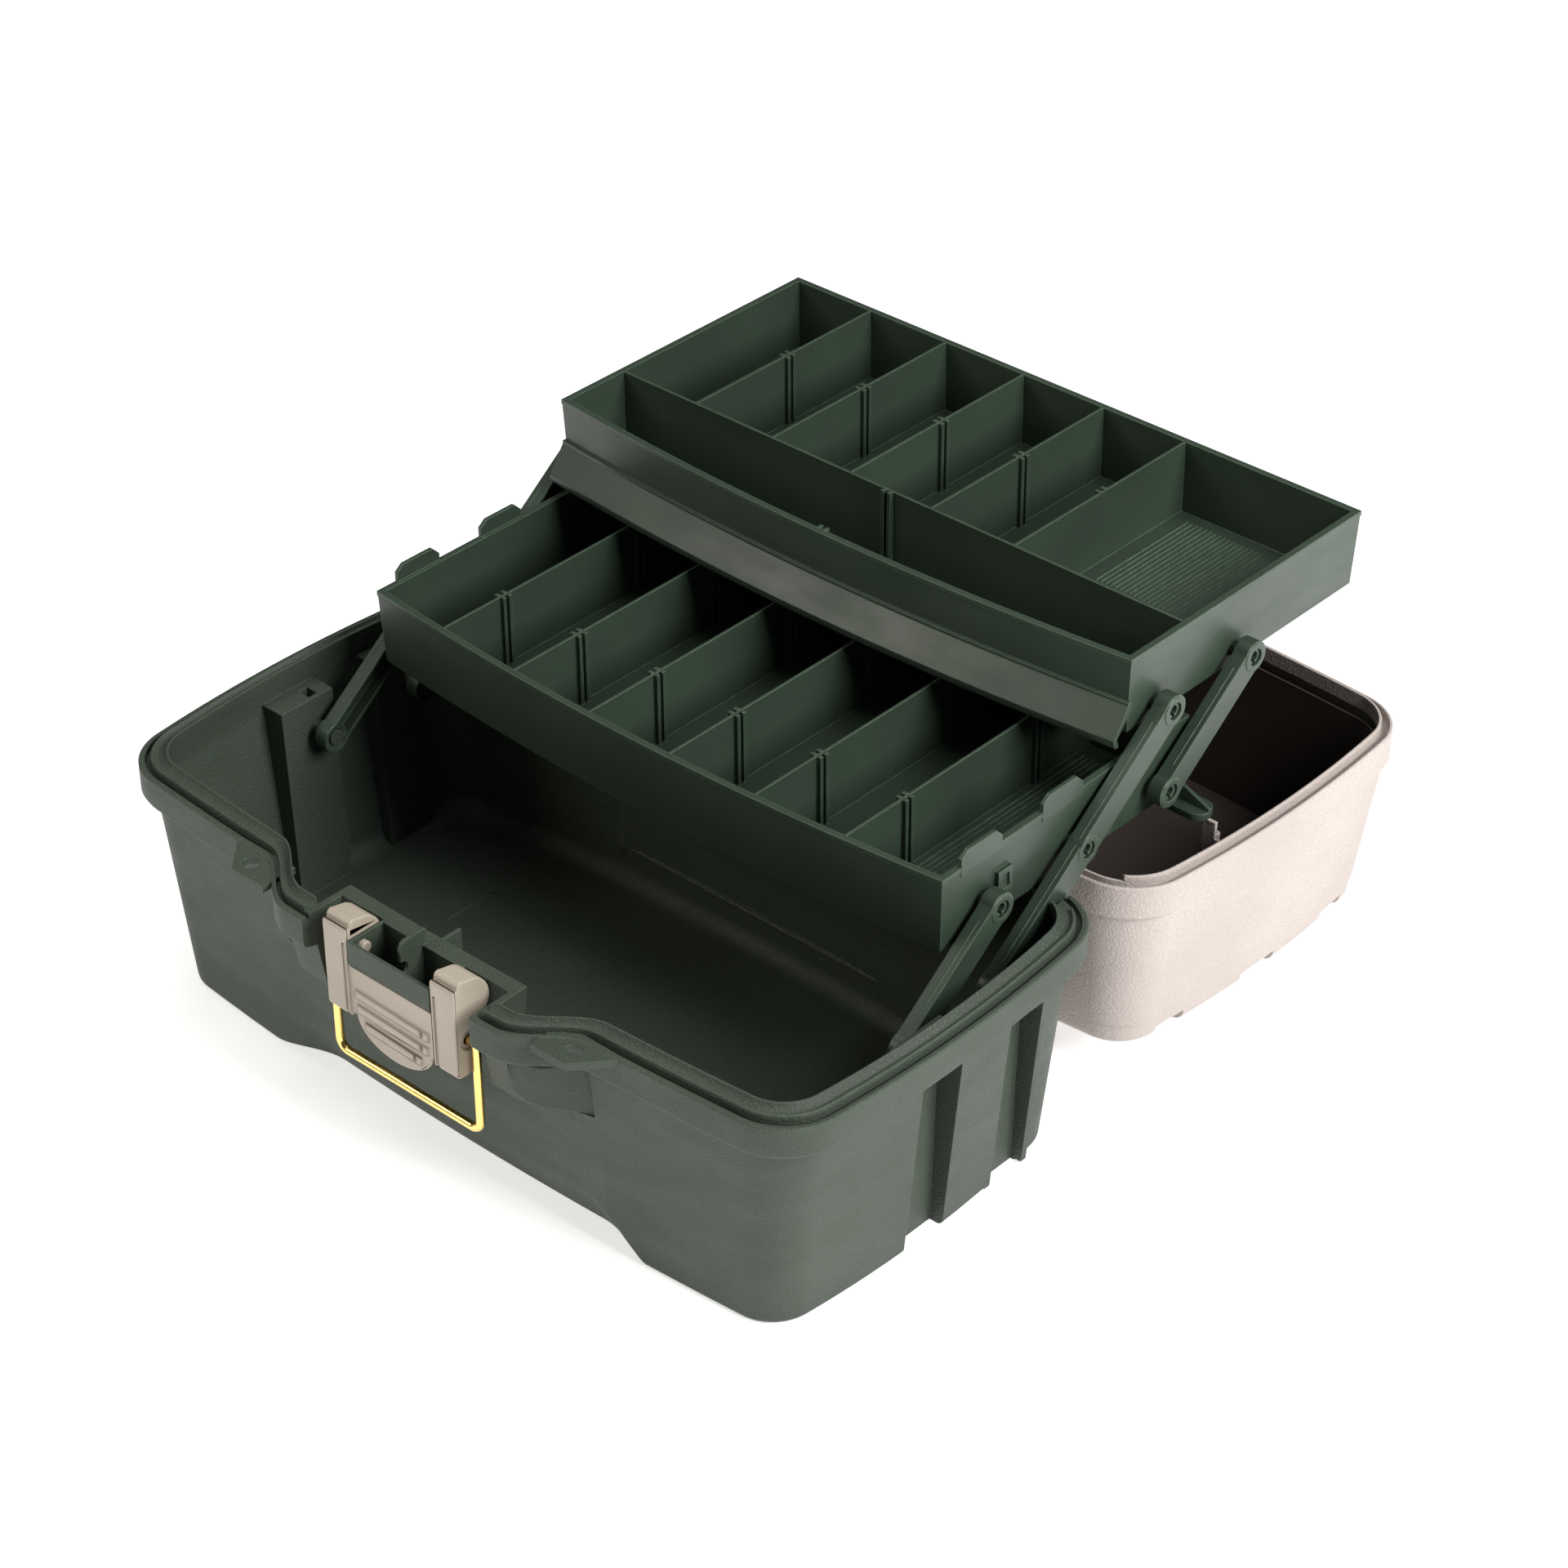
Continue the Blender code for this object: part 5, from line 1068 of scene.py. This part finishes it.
def lid_hollow():
    def inner(z):
        inset = lid_wall_inset(z) + LID_WALL
        return (inset, inset)

    mouth = (5.8 * MM, 5.8 * MM)
    band = (2.6 * MM, 2.6 * MM)
    return loft([
        lid_ring(-LID_HEIGHT + LID_WALL, tuple(v + 2.6 * MM for v in inner(-LID_HEIGHT)), hollow=True),
        lid_ring(-LID_HEIGHT + 5 * MM, inner(-LID_HEIGHT + 5 * MM), hollow=True),
        lid_ring(-47 * MM, inner(-47 * MM), hollow=True),
        lid_ring(-LID_BAND - 3 * MM, inner(-LID_BAND - 3 * MM), 0.8 * BUMP, hollow=True),
        lid_ring(-LID_BAND + 1 * MM, band, BUMP, hollow=True),
        lid_ring(-7 * MM, band, BUMP, hollow=True),
        lid_ring(-4.5 * MM, mouth, BUMP, hollow=True),
        lid_ring(2.8 * MM + OVER, mouth, BUMP, hollow=True),
    ])


def on_top(low, high, depth, above=0.0):
    """A block on the lid's top wall: plan corners about the lid's middle, and its depth into the lid."""
    return box((low[0], LID_CENTRE_Y + low[1], LID_TOP_Z - above),
               (high[0], LID_CENTRE_Y + high[1], LID_TOP_Z + depth))


def add_compartments(lid):
    depth = COMPARTMENT_DEPTH + LID_WALL
    reach = COVER_HALF_Y + 3 * MM
    block = on_top((COVER_X[0] - 3 * MM, -reach), (COVER_X[1] - 3 * MM, reach), depth)
    bmesh.ops.translate(block, verts=block.verts, vec=(0, 0, 0.4 * MM))
    join(lid, mirrored_x(block), "compartment_block")
    reach = COVER_HALF_Y + 6 * MM
    bead = on_top((COVER_X[1] - 3.4 * MM, -reach), (COVER_HINGE_X + 3.6 * MM, reach), depth)
    bmesh.ops.translate(bead, verts=bead.verts, vec=(0, 0, 0.6 * MM))
    join(lid, mirrored_x(bead), "cover_hinge_bead")


def cut_compartments(lid):
    reach = COVER_HALF_Y - 2.5 * MM
    inner = on_top((COVER_X[0] + 2 * MM, -reach), (COVER_X[1] - 6 * MM, reach), COMPARTMENT_DEPTH, OVER)
    cut(lid, mirrored_x(inner), "compartment")
    reach = COVER_HALF_Y + 0.5 * MM
    seat = on_top((COVER_X[0], -reach), (COVER_X[1] + 1.4 * MM, reach), COVER_THICK + 0.4 * MM, OVER)
    cut(lid, mirrored_x(seat), "cover_seat")
    for number, (y, width) in enumerate(COVER_LUGS):
        reach = width / 2 + 1.2 * MM
        notch = on_top((COVER_X[1] - 2.6 * MM, y - reach), (HALF_LENGTH, y + reach), COMPARTMENT_DEPTH, OVER)
        cut(lid, mirrored_x(notch), f"lug_notch_{number}")
    y, radius = LID_CENTRE_Y, COVER_PIN_RADIUS + 0.3 * MM
    hole = rod_y(COVER_HINGE_X, y - 72 * MM, y + 72 * MM, COVER_HINGE_Z, radius)
    cut(lid, mirrored_x(hole), "cover_pin_hole")


def add_handle_well(lid):
    block = on_top((-WELL_X - 3.2 * MM, -WELL_HALF_Y - 2 * MM), (WELL_X + 3.2 * MM, WELL_HALF_Y + 2 * MM),
                   COMPARTMENT_DEPTH + LID_WALL)
    bmesh.ops.translate(block, verts=block.verts, vec=(0, 0, 0.3 * MM))
    join(lid, block, "handle_well_block")


def cut_handle_well(lid):
    well = on_top((-WELL_X, -WELL_HALF_Y), (WELL_X, WELL_HALF_Y), COMPARTMENT_DEPTH - 0.2 * MM, OVER)
    cut(lid, well, "handle_well")
    y, radius = LID_CENTRE_Y + HANDLE_PIVOT_Y, HANDLE_PIN_RADIUS + 0.3 * MM
    hole = rod_x(WELL_X - OVER, WELL_X + OVER, y, HANDLE_PIVOT_Z, radius)
    cut(lid, mirrored_x(hole), "handle_pin_hole")


def rest_outline(grow, top):
    """Front view of a tray rest as (x, z): a post joined to the lid's end wall by a lower web."""
    def wall_x(z):
        return HALF_LENGTH - lid_wall_inset(z) - 1.1 * MM

    low_x, high_x = REST_X[0] - grow, REST_X[1] + grow
    web_z, low_z = REST_WEB_Z + grow, REST_LOW_Z - grow
    end = [(wall_x(web_z), web_z), (wall_x(low_z), low_z)]
    return [(low_x, low_z), (low_x, top), (high_x, top), (high_x, web_z)] + end


def add_tray_rests(lid):
    """Posts that stand beside the lower tray's ears when the trays are out."""
    post = prism_y(rest_outline(0, REST_TOP_Z), REST_Y - 0.9 * MM, REST_Y + 0.9 * MM)
    join(lid, mirrored_x(post), "tray_rest")
    round_post = rod_z(REST_X[1] - 1 * MM, REST_Y + 1.6 * MM, REST_LOW_Z, REST_WEB_Z + 2 * MM, 1.9 * MM)
    join(lid, mirrored_x(round_post), "tray_rest_round")


def add_pocket_back(lid):
    """The wall between the lid's inside and the latch pocket in its front."""
    far = LID_CENTRE_Y - POCKET_Y
    low, high = LID_RIM_Z - 48 * MM, LID_RIM_Z + 2.8 * MM
    back = box((-POCKET_X - TUB_WALL, far - 2.2 * MM, low), (POCKET_X + TUB_WALL, far + 6 * MM, high))
    join(lid, back, "pocket_back")


def add_catch(lid):
    """The hooked ledge on the lid's front that the bail is drawn over."""
    wall_y = LID_CENTRE_Y - POCKET_Y - 1 * MM
    bar_y = LID_CENTRE_Y - BAIL_PIVOT[0]
    top = CATCH_TOP_Z
    outline = [
        (wall_y, top + 3 * MM), (bar_y + 4.6 * MM, top + 3 * MM), (bar_y + 4.6 * MM, top - 3 * MM),
        (bar_y + 2.8 * MM, top - 3 * MM), (bar_y + 2.8 * MM, top), (wall_y, top),
    ]
    join(lid, prism_x(outline, -20 * MM, 20 * MM), "catch")


def cut_lid_pocket(lid):
    far = LID_CENTRE_Y - POCKET_Y
    pocket = box((-POCKET_X, far, LID_RIM_Z - 55 * MM), (POCKET_X, far + 50 * MM, LID_RIM_Z + 3 * OVER))
    cut(lid, pocket, "lid_pocket")
    half = POCKET_X + TUB_WALL
    ridge = box((-half, far - 12 * MM, LID_RIM_Z), (half, far + 50 * MM, LID_RIM_Z + OVER))
    cut(lid, ridge, "lid_pocket_ridge")
    rear_ridge = box((-186 * MM, -2 * MM, LID_RIM_Z), (186 * MM, 18 * MM, LID_RIM_Z + OVER))
    cut(lid, rear_ridge, "rear_ridge")


def in_place(obj):
    """Turns a baked lid piece from the lid's frame into the row frame."""
    baked(obj)
    obj.data.transform(Matrix.Translation((0, *HINGE)) @ Matrix.Rotation(LID_TILT, 4, "X"))
    return obj


def build_lid(material):
    lid = object_from(loft(lid_rings()), "lid_body")
    cut(lid, lid_hollow(), "lid_hollow")
    add_compartments(lid)
    add_handle_well(lid)
    cut_compartments(lid)
    cut_handle_well(lid)
    add_pocket_back(lid)
    add_tray_rests(lid)
    cut_lid_pocket(lid)
    add_catch(lid)
    add_knuckles(lid, 0, 0, on_lid=True)
    cut_knuckle_room(lid, 0, 0, on_lid=True)
    return finished(in_place(lid), material, "lid", ["lid_shell"])


def liner_rings(grow):
    """Rings of the liner's outside, or of its inside when grow is its thickness. It passes behind the
    latch pocket and leaves the swelling of the lid's front empty."""
    def inner(z):
        inset = lid_wall_inset(z) + LID_WALL + SLIP
        return (inset + grow, max(inset, LINER_FRONT_INSET) + grow)

    rim = (2.6 * MM + SLIP + grow, LINER_FRONT_INSET + grow)
    floor = LINER_FLOOR_Z + grow
    top = -7.6 * MM if grow == 0 else -2 * MM
    rings = [lid_ring(z, inner(z), hollow=True) for z in (floor, -47 * MM, -LID_BAND - 3 * MM)]
    return rings + [lid_ring(z, rim, hollow=True) for z in (-LID_BAND + 1.3 * MM, top)]


def add_liner_marks(liner):
    """Low raised panels on the liner's floor, over the compartments and the handle well."""
    z = LINER_FLOOR_Z + LINER + LID_RIM_Z
    panels = [((-168, -52), (-66, 52)), ((66, -52), (168, 52)), ((-46, -18), (46, 18))]
    for number, (low, high) in enumerate(panels):
        outline = rounded_plan([v * MM for v in low], [v * MM for v in high], 10 * MM)
        panel = prism_z([(x, LID_CENTRE_Y + y) for x, y in outline], z - 0.4 * MM, z + 1.6 * MM)
        join(liner, panel, f"liner_panel_{number}")
    disc = rod_z(0, LID_CENTRE_Y + 40 * MM, z - 0.4 * MM, z + 1.0 * MM, 9 * MM)
    join(liner, disc, "liner_disc")


def rounded_plan(low, high, radius):
    """A rectangle with round corners as (x, y)."""
    corners = [((high[0] - radius, high[1] - radius), 0), ((low[0] + radius, high[1] - radius), 1),
               ((low[0] + radius, low[1] + radius), 2), ((high[0] - radius, low[1] + radius), 3)]
    found = []
    for centre, turn in corners:
        found += arc_points(centre, radius, turn * math.pi / 2, (turn + 1) * math.pi / 2, 8)
    return found


def build_liner(material):
    """The dark inner tub of the lid."""
    liner = object_from(loft(liner_rings(0)), "liner_tub")
    cut(liner, loft(liner_rings(LINER)), "liner_hollow")
    slot = prism_y(rest_outline(0.6 * MM, 4 * OVER), REST_Y - 1.4 * MM, REST_Y + 4.2 * MM)
    cut(liner, mirrored_x(slot), "liner_slot")
    add_liner_marks(liner)
    return finished(in_place(liner), material, "lid", ["lid_liner"])


def along_link(foot, links):
    return (foot[0] + links * LINK * math.cos(OPEN_ANGLE), foot[1] + links * LINK * math.sin(OPEN_ANGLE))


LONG_FOOT = (FRONT_FOOT[0] + PIVOT_SPACING, FRONT_FOOT[1])
FRONT_HEAD = along_link(FRONT_FOOT, 1)
LONG_MIDDLE = along_link(LONG_FOOT, 1)
LONG_HEAD = along_link(LONG_FOOT, 2)
UPPER_FOOT = (LONG_MIDDLE[0] + PIVOT_SPACING, LONG_MIDDLE[1])
UPPER_HEAD = along_link(UPPER_FOOT, 1)
COVER_HINGE_Z = LID_TOP_Z + 3.2 * MM
HANDLE_PIVOT_Z = LID_TOP_Z + 2.2 * MM
LINER_FLOOR_Z = -LID_HEIGHT + COMPARTMENT_DEPTH + 2 * LID_WALL
CATCH_TOP_Z = HINGE[1] - (2 * BAIL_PIVOT[1] - BAIL_LOW_Z) + BAIL_WIRE + SLIP


# ---- materials -------------------------------------------------------------------------------------


class Graph:
    """A short way to wire a material's nodes."""

    def __init__(self, name):
        self.material = bpy.data.materials.new(name)
        self.material.use_nodes = True
        self.tree = self.material.node_tree
        self.shader = self.tree.nodes["Principled BSDF"]

    def node(self, kind, **values):
        node = self.tree.nodes.new(kind)
        for name, value in values.items():
            if name in node.inputs:
                node.inputs[name].default_value = value
            else:
                setattr(node, name, value)
        return node

    def link(self, source, target):
        self.tree.links.new(source, target)


def noise(graph, place, scale, detail=3.0, roughness=0.5):
    node = graph.node("ShaderNodeTexNoise", Scale=scale, Detail=detail, Roughness=roughness)
    graph.link(place, node.inputs["Vector"])
    return node.outputs["Fac"]


def stretched(graph, place, scale):
    node = graph.node("ShaderNodeMapping")
    node.inputs["Scale"].default_value = scale
    graph.link(place, node.inputs["Vector"])
    return node.outputs["Vector"]


def ranged(graph, value, low, high, out_low, out_high):
    node = graph.node("ShaderNodeMapRange")
    for name, number in (("From Min", low), ("From Max", high), ("To Min", out_low), ("To Max", out_high)):
        node.inputs[name].default_value = number
    graph.link(value, node.inputs["Value"])
    return node.outputs["Result"]


def maths(graph, operation, first, second):
    node = graph.node("ShaderNodeMath")
    node.operation = operation
    for socket, value in zip(node.inputs, (first, second)):
        if isinstance(value, float):
            socket.default_value = value
        else:
            graph.link(value, socket)
    return node.outputs["Value"]


def mixed(graph, share, first, second):
    """Mix of two colours, each a tuple or an output."""
    node = graph.node("ShaderNodeMix")
    node.data_type = "RGBA"
    graph.link(share, node.inputs["Factor"])
    for name, value in (("A", first), ("B", second)):
        socket = next(s for s in node.inputs if s.name == name and s.type == "RGBA")
        if isinstance(value, tuple):
            socket.default_value = (*value, 1.0)
        else:
            graph.link(value, socket)
    return next(s for s in node.outputs if s.type == "RGBA")


def edge_share(graph, radius):
    """Near 1 along outer edges and corners and 0 on flat faces."""
    bevel = graph.node("ShaderNodeBevel")
    bevel.samples = 6
    bevel.inputs["Radius"].default_value = radius
    geometry = graph.node("ShaderNodeNewGeometry")
    dot = graph.node("ShaderNodeVectorMath")
    dot.operation = "DOT_PRODUCT"
    graph.link(bevel.outputs["Normal"], dot.inputs[0])
    graph.link(geometry.outputs["Normal"], dot.inputs[1])
    return ranged(graph, dot.outputs["Value"], 0.995, 0.86, 0.0, 1.0), bevel.outputs["Normal"]


def plastic(name, colour, roughness, grain=0.0, grain_size=1.0 * MM, edge_highlight=1.6, edge=0.6 * MM):
    """Moulded plastic: pebbled grain or fine moulding marks, uneven gloss and colour, and a painted
    highlight along its edges.
    """
    graph = Graph(name)
    place = graph.node("ShaderNodeTexCoord").outputs["Object"]
    broad = noise(graph, place, 14.0, 2.0)
    fine = noise(graph, place, 900.0, 2.0)
    dark = tuple(channel * 0.90 for channel in colour)
    light = tuple(min(1.0, channel * 1.08) for channel in colour)
    tone = mixed(graph, ranged(graph, broad, 0.35, 0.65, 0.0, 1.0), dark, light)
    pale = tuple(min(1.0, channel * 1.5) for channel in colour)
    speck = mixed(graph, ranged(graph, fine, 0.55, 0.8, 0.0, 0.12), tone, pale)
    edges, rounded_normal = edge_share(graph, edge)
    pebbles = pebble_cells(graph, place, grain_size) if grain else None
    # Painted highlight: edges and corners are lightened in colour, in patches broken up by noise.
    highlight_breaks = ranged(graph, noise(graph, place, 260.0, 4.0, 0.7), 0.35, 0.65, 0.35, 1.0)
    highlight_colour = tuple(min(0.92, channel * edge_highlight + 0.004) for channel in colour)
    share = maths(graph, "MULTIPLY", maths(graph, "MULTIPLY", edges, highlight_breaks), 0.8)
    final = mixed(graph, share, grained(graph, speck, colour, pebbles), highlight_colour)
    graph.link(final, graph.shader.inputs["Base Color"])
    smears = noise(graph, stretched(graph, place, (30.0, 30.0, 90.0)), 1.0, 3.0)
    gloss = maths(graph, "ADD", ranged(graph, smears, 0.3, 0.7, roughness - 0.05, roughness + 0.06),
                  ranged(graph, fine, 0.3, 0.7, -0.02, 0.03))
    graph.link(gloss, graph.shader.inputs["Roughness"])
    graph.shader.inputs["Specular IOR Level"].default_value = 0.42
    graph.link(relief(graph, place, grain, pebbles, rounded_normal), graph.shader.inputs["Normal"])
    return graph.material


def grained(graph, tone, colour, pebbles):
    """The tone with painted shade: a little darker between the pebbles of the grain."""
    if pebbles is None:
        return tone
    # Painted shade in the valleys of the grain.
    valley_shade = tuple(channel * 0.82 for channel in colour)
    return mixed(graph, ranged(graph, pebbles, 0.1, 1.1, 0.0, 1.0), valley_shade, tone)


def relief(graph, place, grain, pebbles, under):
    """Bump of the moulded surface. Without grain only faint flow marks stay."""
    flow = graph.node("ShaderNodeBump", Strength=0.12, Distance=0.15 * MM)
    graph.link(under, flow.inputs["Normal"])
    graph.link(noise(graph, stretched(graph, place, (1.0, 1.0, 0.25)), 420.0, 4.0), flow.inputs["Height"])
    if pebbles is None:
        return flow.outputs["Normal"]
    bump = graph.node("ShaderNodeBump", Strength=grain, Distance=0.22 * MM)
    graph.link(pebbles, bump.inputs["Height"])
    graph.link(flow.outputs["Normal"], bump.inputs["Normal"])
    return bump.outputs["Normal"]


def pebble_cells(graph, place, grain_size):
    """Height of a pebbled grain: uneven cells with narrow valleys, 0 to about 1.5."""
    bent = graph.node("ShaderNodeVectorMath")
    bent.operation = "ADD"
    wobble = graph.node("ShaderNodeTexNoise", Scale=0.7 / grain_size, Detail=1.0)
    graph.link(place, wobble.inputs["Vector"])
    small = graph.node("ShaderNodeVectorMath")
    small.operation = "SCALE"
    small.inputs["Scale"].default_value = grain_size * 0.9
    graph.link(wobble.outputs["Color"], small.inputs[0])
    graph.link(place, bent.inputs[0])
    graph.link(small.outputs["Vector"], bent.inputs[1])
    cells = graph.node("ShaderNodeTexVoronoi", Scale=1.0 / grain_size)
    cells.feature = "DISTANCE_TO_EDGE"
    graph.link(bent.outputs["Vector"], cells.inputs["Vector"])
    pebbles = ranged(graph, cells.outputs["Distance"], 0.0, 0.32, 0.0, 1.0)
    fine = noise(graph, place, 1.1 / grain_size, 3.0)
    return maths(graph, "ADD", maths(graph, "MULTIPLY", pebbles, 0.7), maths(graph, "MULTIPLY", fine, 0.8))


def metal(name, colour, roughness):
    """Drawn wire: fine lines along it and faint tarnish."""
    graph = Graph(name)
    place = graph.node("ShaderNodeTexCoord").outputs["Object"]
    tarnish = ranged(graph, noise(graph, place, 180.0, 4.0, 0.6), 0.45, 0.75, 0.0, 0.5)
    dull = tuple(channel * 0.72 for channel in colour)
    graph.link(mixed(graph, tarnish, colour, dull), graph.shader.inputs["Base Color"])
    lines = noise(graph, stretched(graph, place, (900.0, 900.0, 60.0)), 1.0, 3.0)
    uneven = ranged(graph, lines, 0.3, 0.7, roughness * 0.8, roughness * 1.5)
    graph.link(uneven, graph.shader.inputs["Roughness"])
    graph.shader.inputs["Metallic"].default_value = 1.0
    bump = graph.node("ShaderNodeBump", Strength=0.15, Distance=0.02 * MM)
    graph.link(lines, bump.inputs["Height"])
    graph.link(bump.outputs["Normal"], graph.shader.inputs["Normal"])
    return graph.material


# ---- frame, floor, light and camera ----------------------------------------------------------------


def dress(node_name, material, bevel=0.3 * MM):
    """A CAD node that stays as it is, with a finished material and soft edges."""
    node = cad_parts[node_name]
    node.data.materials.clear()
    node.data.materials.append(material)
    weld = node.modifiers.new("weld", "WELD")
    weld.merge_threshold = 0.02 * MM
    if bevel:
        edges = node.modifiers.new("edges", "BEVEL")
        edges.width = bevel
        edges.segments = 2
        edges.limit_method = "ANGLE"
        edges.angle_limit = SHARP
        edges.use_clamp_overlap = False
    normals = node.modifiers.new("normals", "WEIGHTED_NORMAL")
    normals.keep_sharp = True


def build_floor():
    bm = bmesh.new()
    bmesh.ops.create_grid(bm, x_segments=8, y_segments=8, size=6.0)
    floor = object_from(bm, "floor")
    material = bpy.data.materials.new("floor_white")
    material.use_nodes = True
    shader = material.node_tree.nodes["Principled BSDF"]
    shader.inputs["Base Color"].default_value = (0.93, 0.93, 0.93, 1.0)
    shader.inputs["Roughness"].default_value = 0.9
    shader.inputs["Specular IOR Level"].default_value = 0.1
    shader.inputs["Emission Color"].default_value = (1.0, 1.0, 1.0, 1.0)
    shader.inputs["Emission Strength"].default_value = 0.55
    floor.data.materials.append(material)


def area_light(name, place, target, size, power, colour=(1, 1, 1)):
    light = bpy.data.lights.new(name, "AREA")
    light.shape = "RECTANGLE"
    light.size, light.size_y = size
    light.energy = power
    light.color = colour
    obj = bpy.data.objects.new(name, light)
    obj.location = place
    obj.rotation_euler = (Vector(target) - Vector(place)).to_track_quat("-Z", "Y").to_euler()
    bpy.context.scene.collection.objects.link(obj)


def build_lights():
    world = bpy.data.worlds.new("studio")
    world.use_nodes = True
    background = world.node_tree.nodes["Background"]
    background.inputs["Color"].default_value = (1.0, 1.0, 1.0, 1.0)
    background.inputs["Strength"].default_value = 0.10
    bpy.context.scene.world = world
    centre = (0, 0.12, 0.08)
    area_light("key", (1.9, 0.3, 1.5), centre, (1.1, 1.1), 82)
    area_light("top", (-0.3, 0.1, 2.2), centre, (1.6, 1.6), 22)
    area_light("front", (-1.2, -1.5, 1.3), centre, (1.0, 1.0), 16, (1.0, 0.95, 0.86))


def build_camera():
    camera = bpy.data.cameras.new("camera")
    camera.lens = CAMERA_LENS
    camera.sensor_width = 36
    camera.clip_start, camera.clip_end = 0.05, 30
    obj = bpy.data.objects.new("camera", camera)
    turn = Matrix([Vector(axis) for axis in CAMERA_AXES]).transposed().to_4x4()
    obj.matrix_world = Matrix.Translation(CAMERA_PLACE) @ turn
    bpy.context.scene.collection.objects.link(obj)
    bpy.context.scene.camera = obj


def main():
    # The edge factor given to each plastic lightens its edges with a painted highlight.
    green = plastic("grained_green_plastic", (0.037, 0.050, 0.035), 0.60, 0.9, 1.7 * MM, edge_highlight=2.4)
    tray_green = plastic("smooth_green_plastic", (0.028, 0.043, 0.029), 0.38, edge_highlight=4.5)
    beige = plastic("grained_beige_plastic", (0.43, 0.375, 0.345), 0.58, 0.8, 1.8 * MM, edge_highlight=1.15)
    latch_beige = plastic("smooth_beige_plastic", (0.35, 0.30, 0.24), 0.42, edge_highlight=1.3)
    brown = plastic("dark_brown_plastic", (0.050, 0.040, 0.034), 0.36)
    brass = metal("brass_wire", (0.88, 0.62, 0.20), 0.16)
    steel = metal("steel_wire", (0.55, 0.55, 0.56), 0.30)
    build_tub(green)
    build_latch(latch_beige)
    build_bail(brass)
    for label, side in (("left", -1), ("right", 1)):
        build_arm(f"front_arm_{label}", side, FRONT_FOOT, 2, "front_arms", tray_green)
        build_arm(f"long_arm_{label}", side, LONG_FOOT, 3, "long_arms", tray_green)
        build_arm(f"upper_arm_{label}", side, UPPER_FOOT, 2, "upper_arms", tray_green)
        dress(f"access_cover_{label}", beige)
        dress(f"lid_hinge_pin_{label}", steel, 0.2 * MM)
        dress(f"cover_hinge_pin_{label}", steel, 0.2 * MM)
        dress(f"handle_pin_{label}", steel, 0.2 * MM)
    build_lower_tray(tray_green)
    build_upper_tray(tray_green)
    build_lid(beige)
    build_liner(brown)
    dress("carry_handle", latch_beige, 0)
    build_floor()
    build_lights()
    build_camera()
    bpy.context.scene.view_settings.view_transform = "Standard"


main()
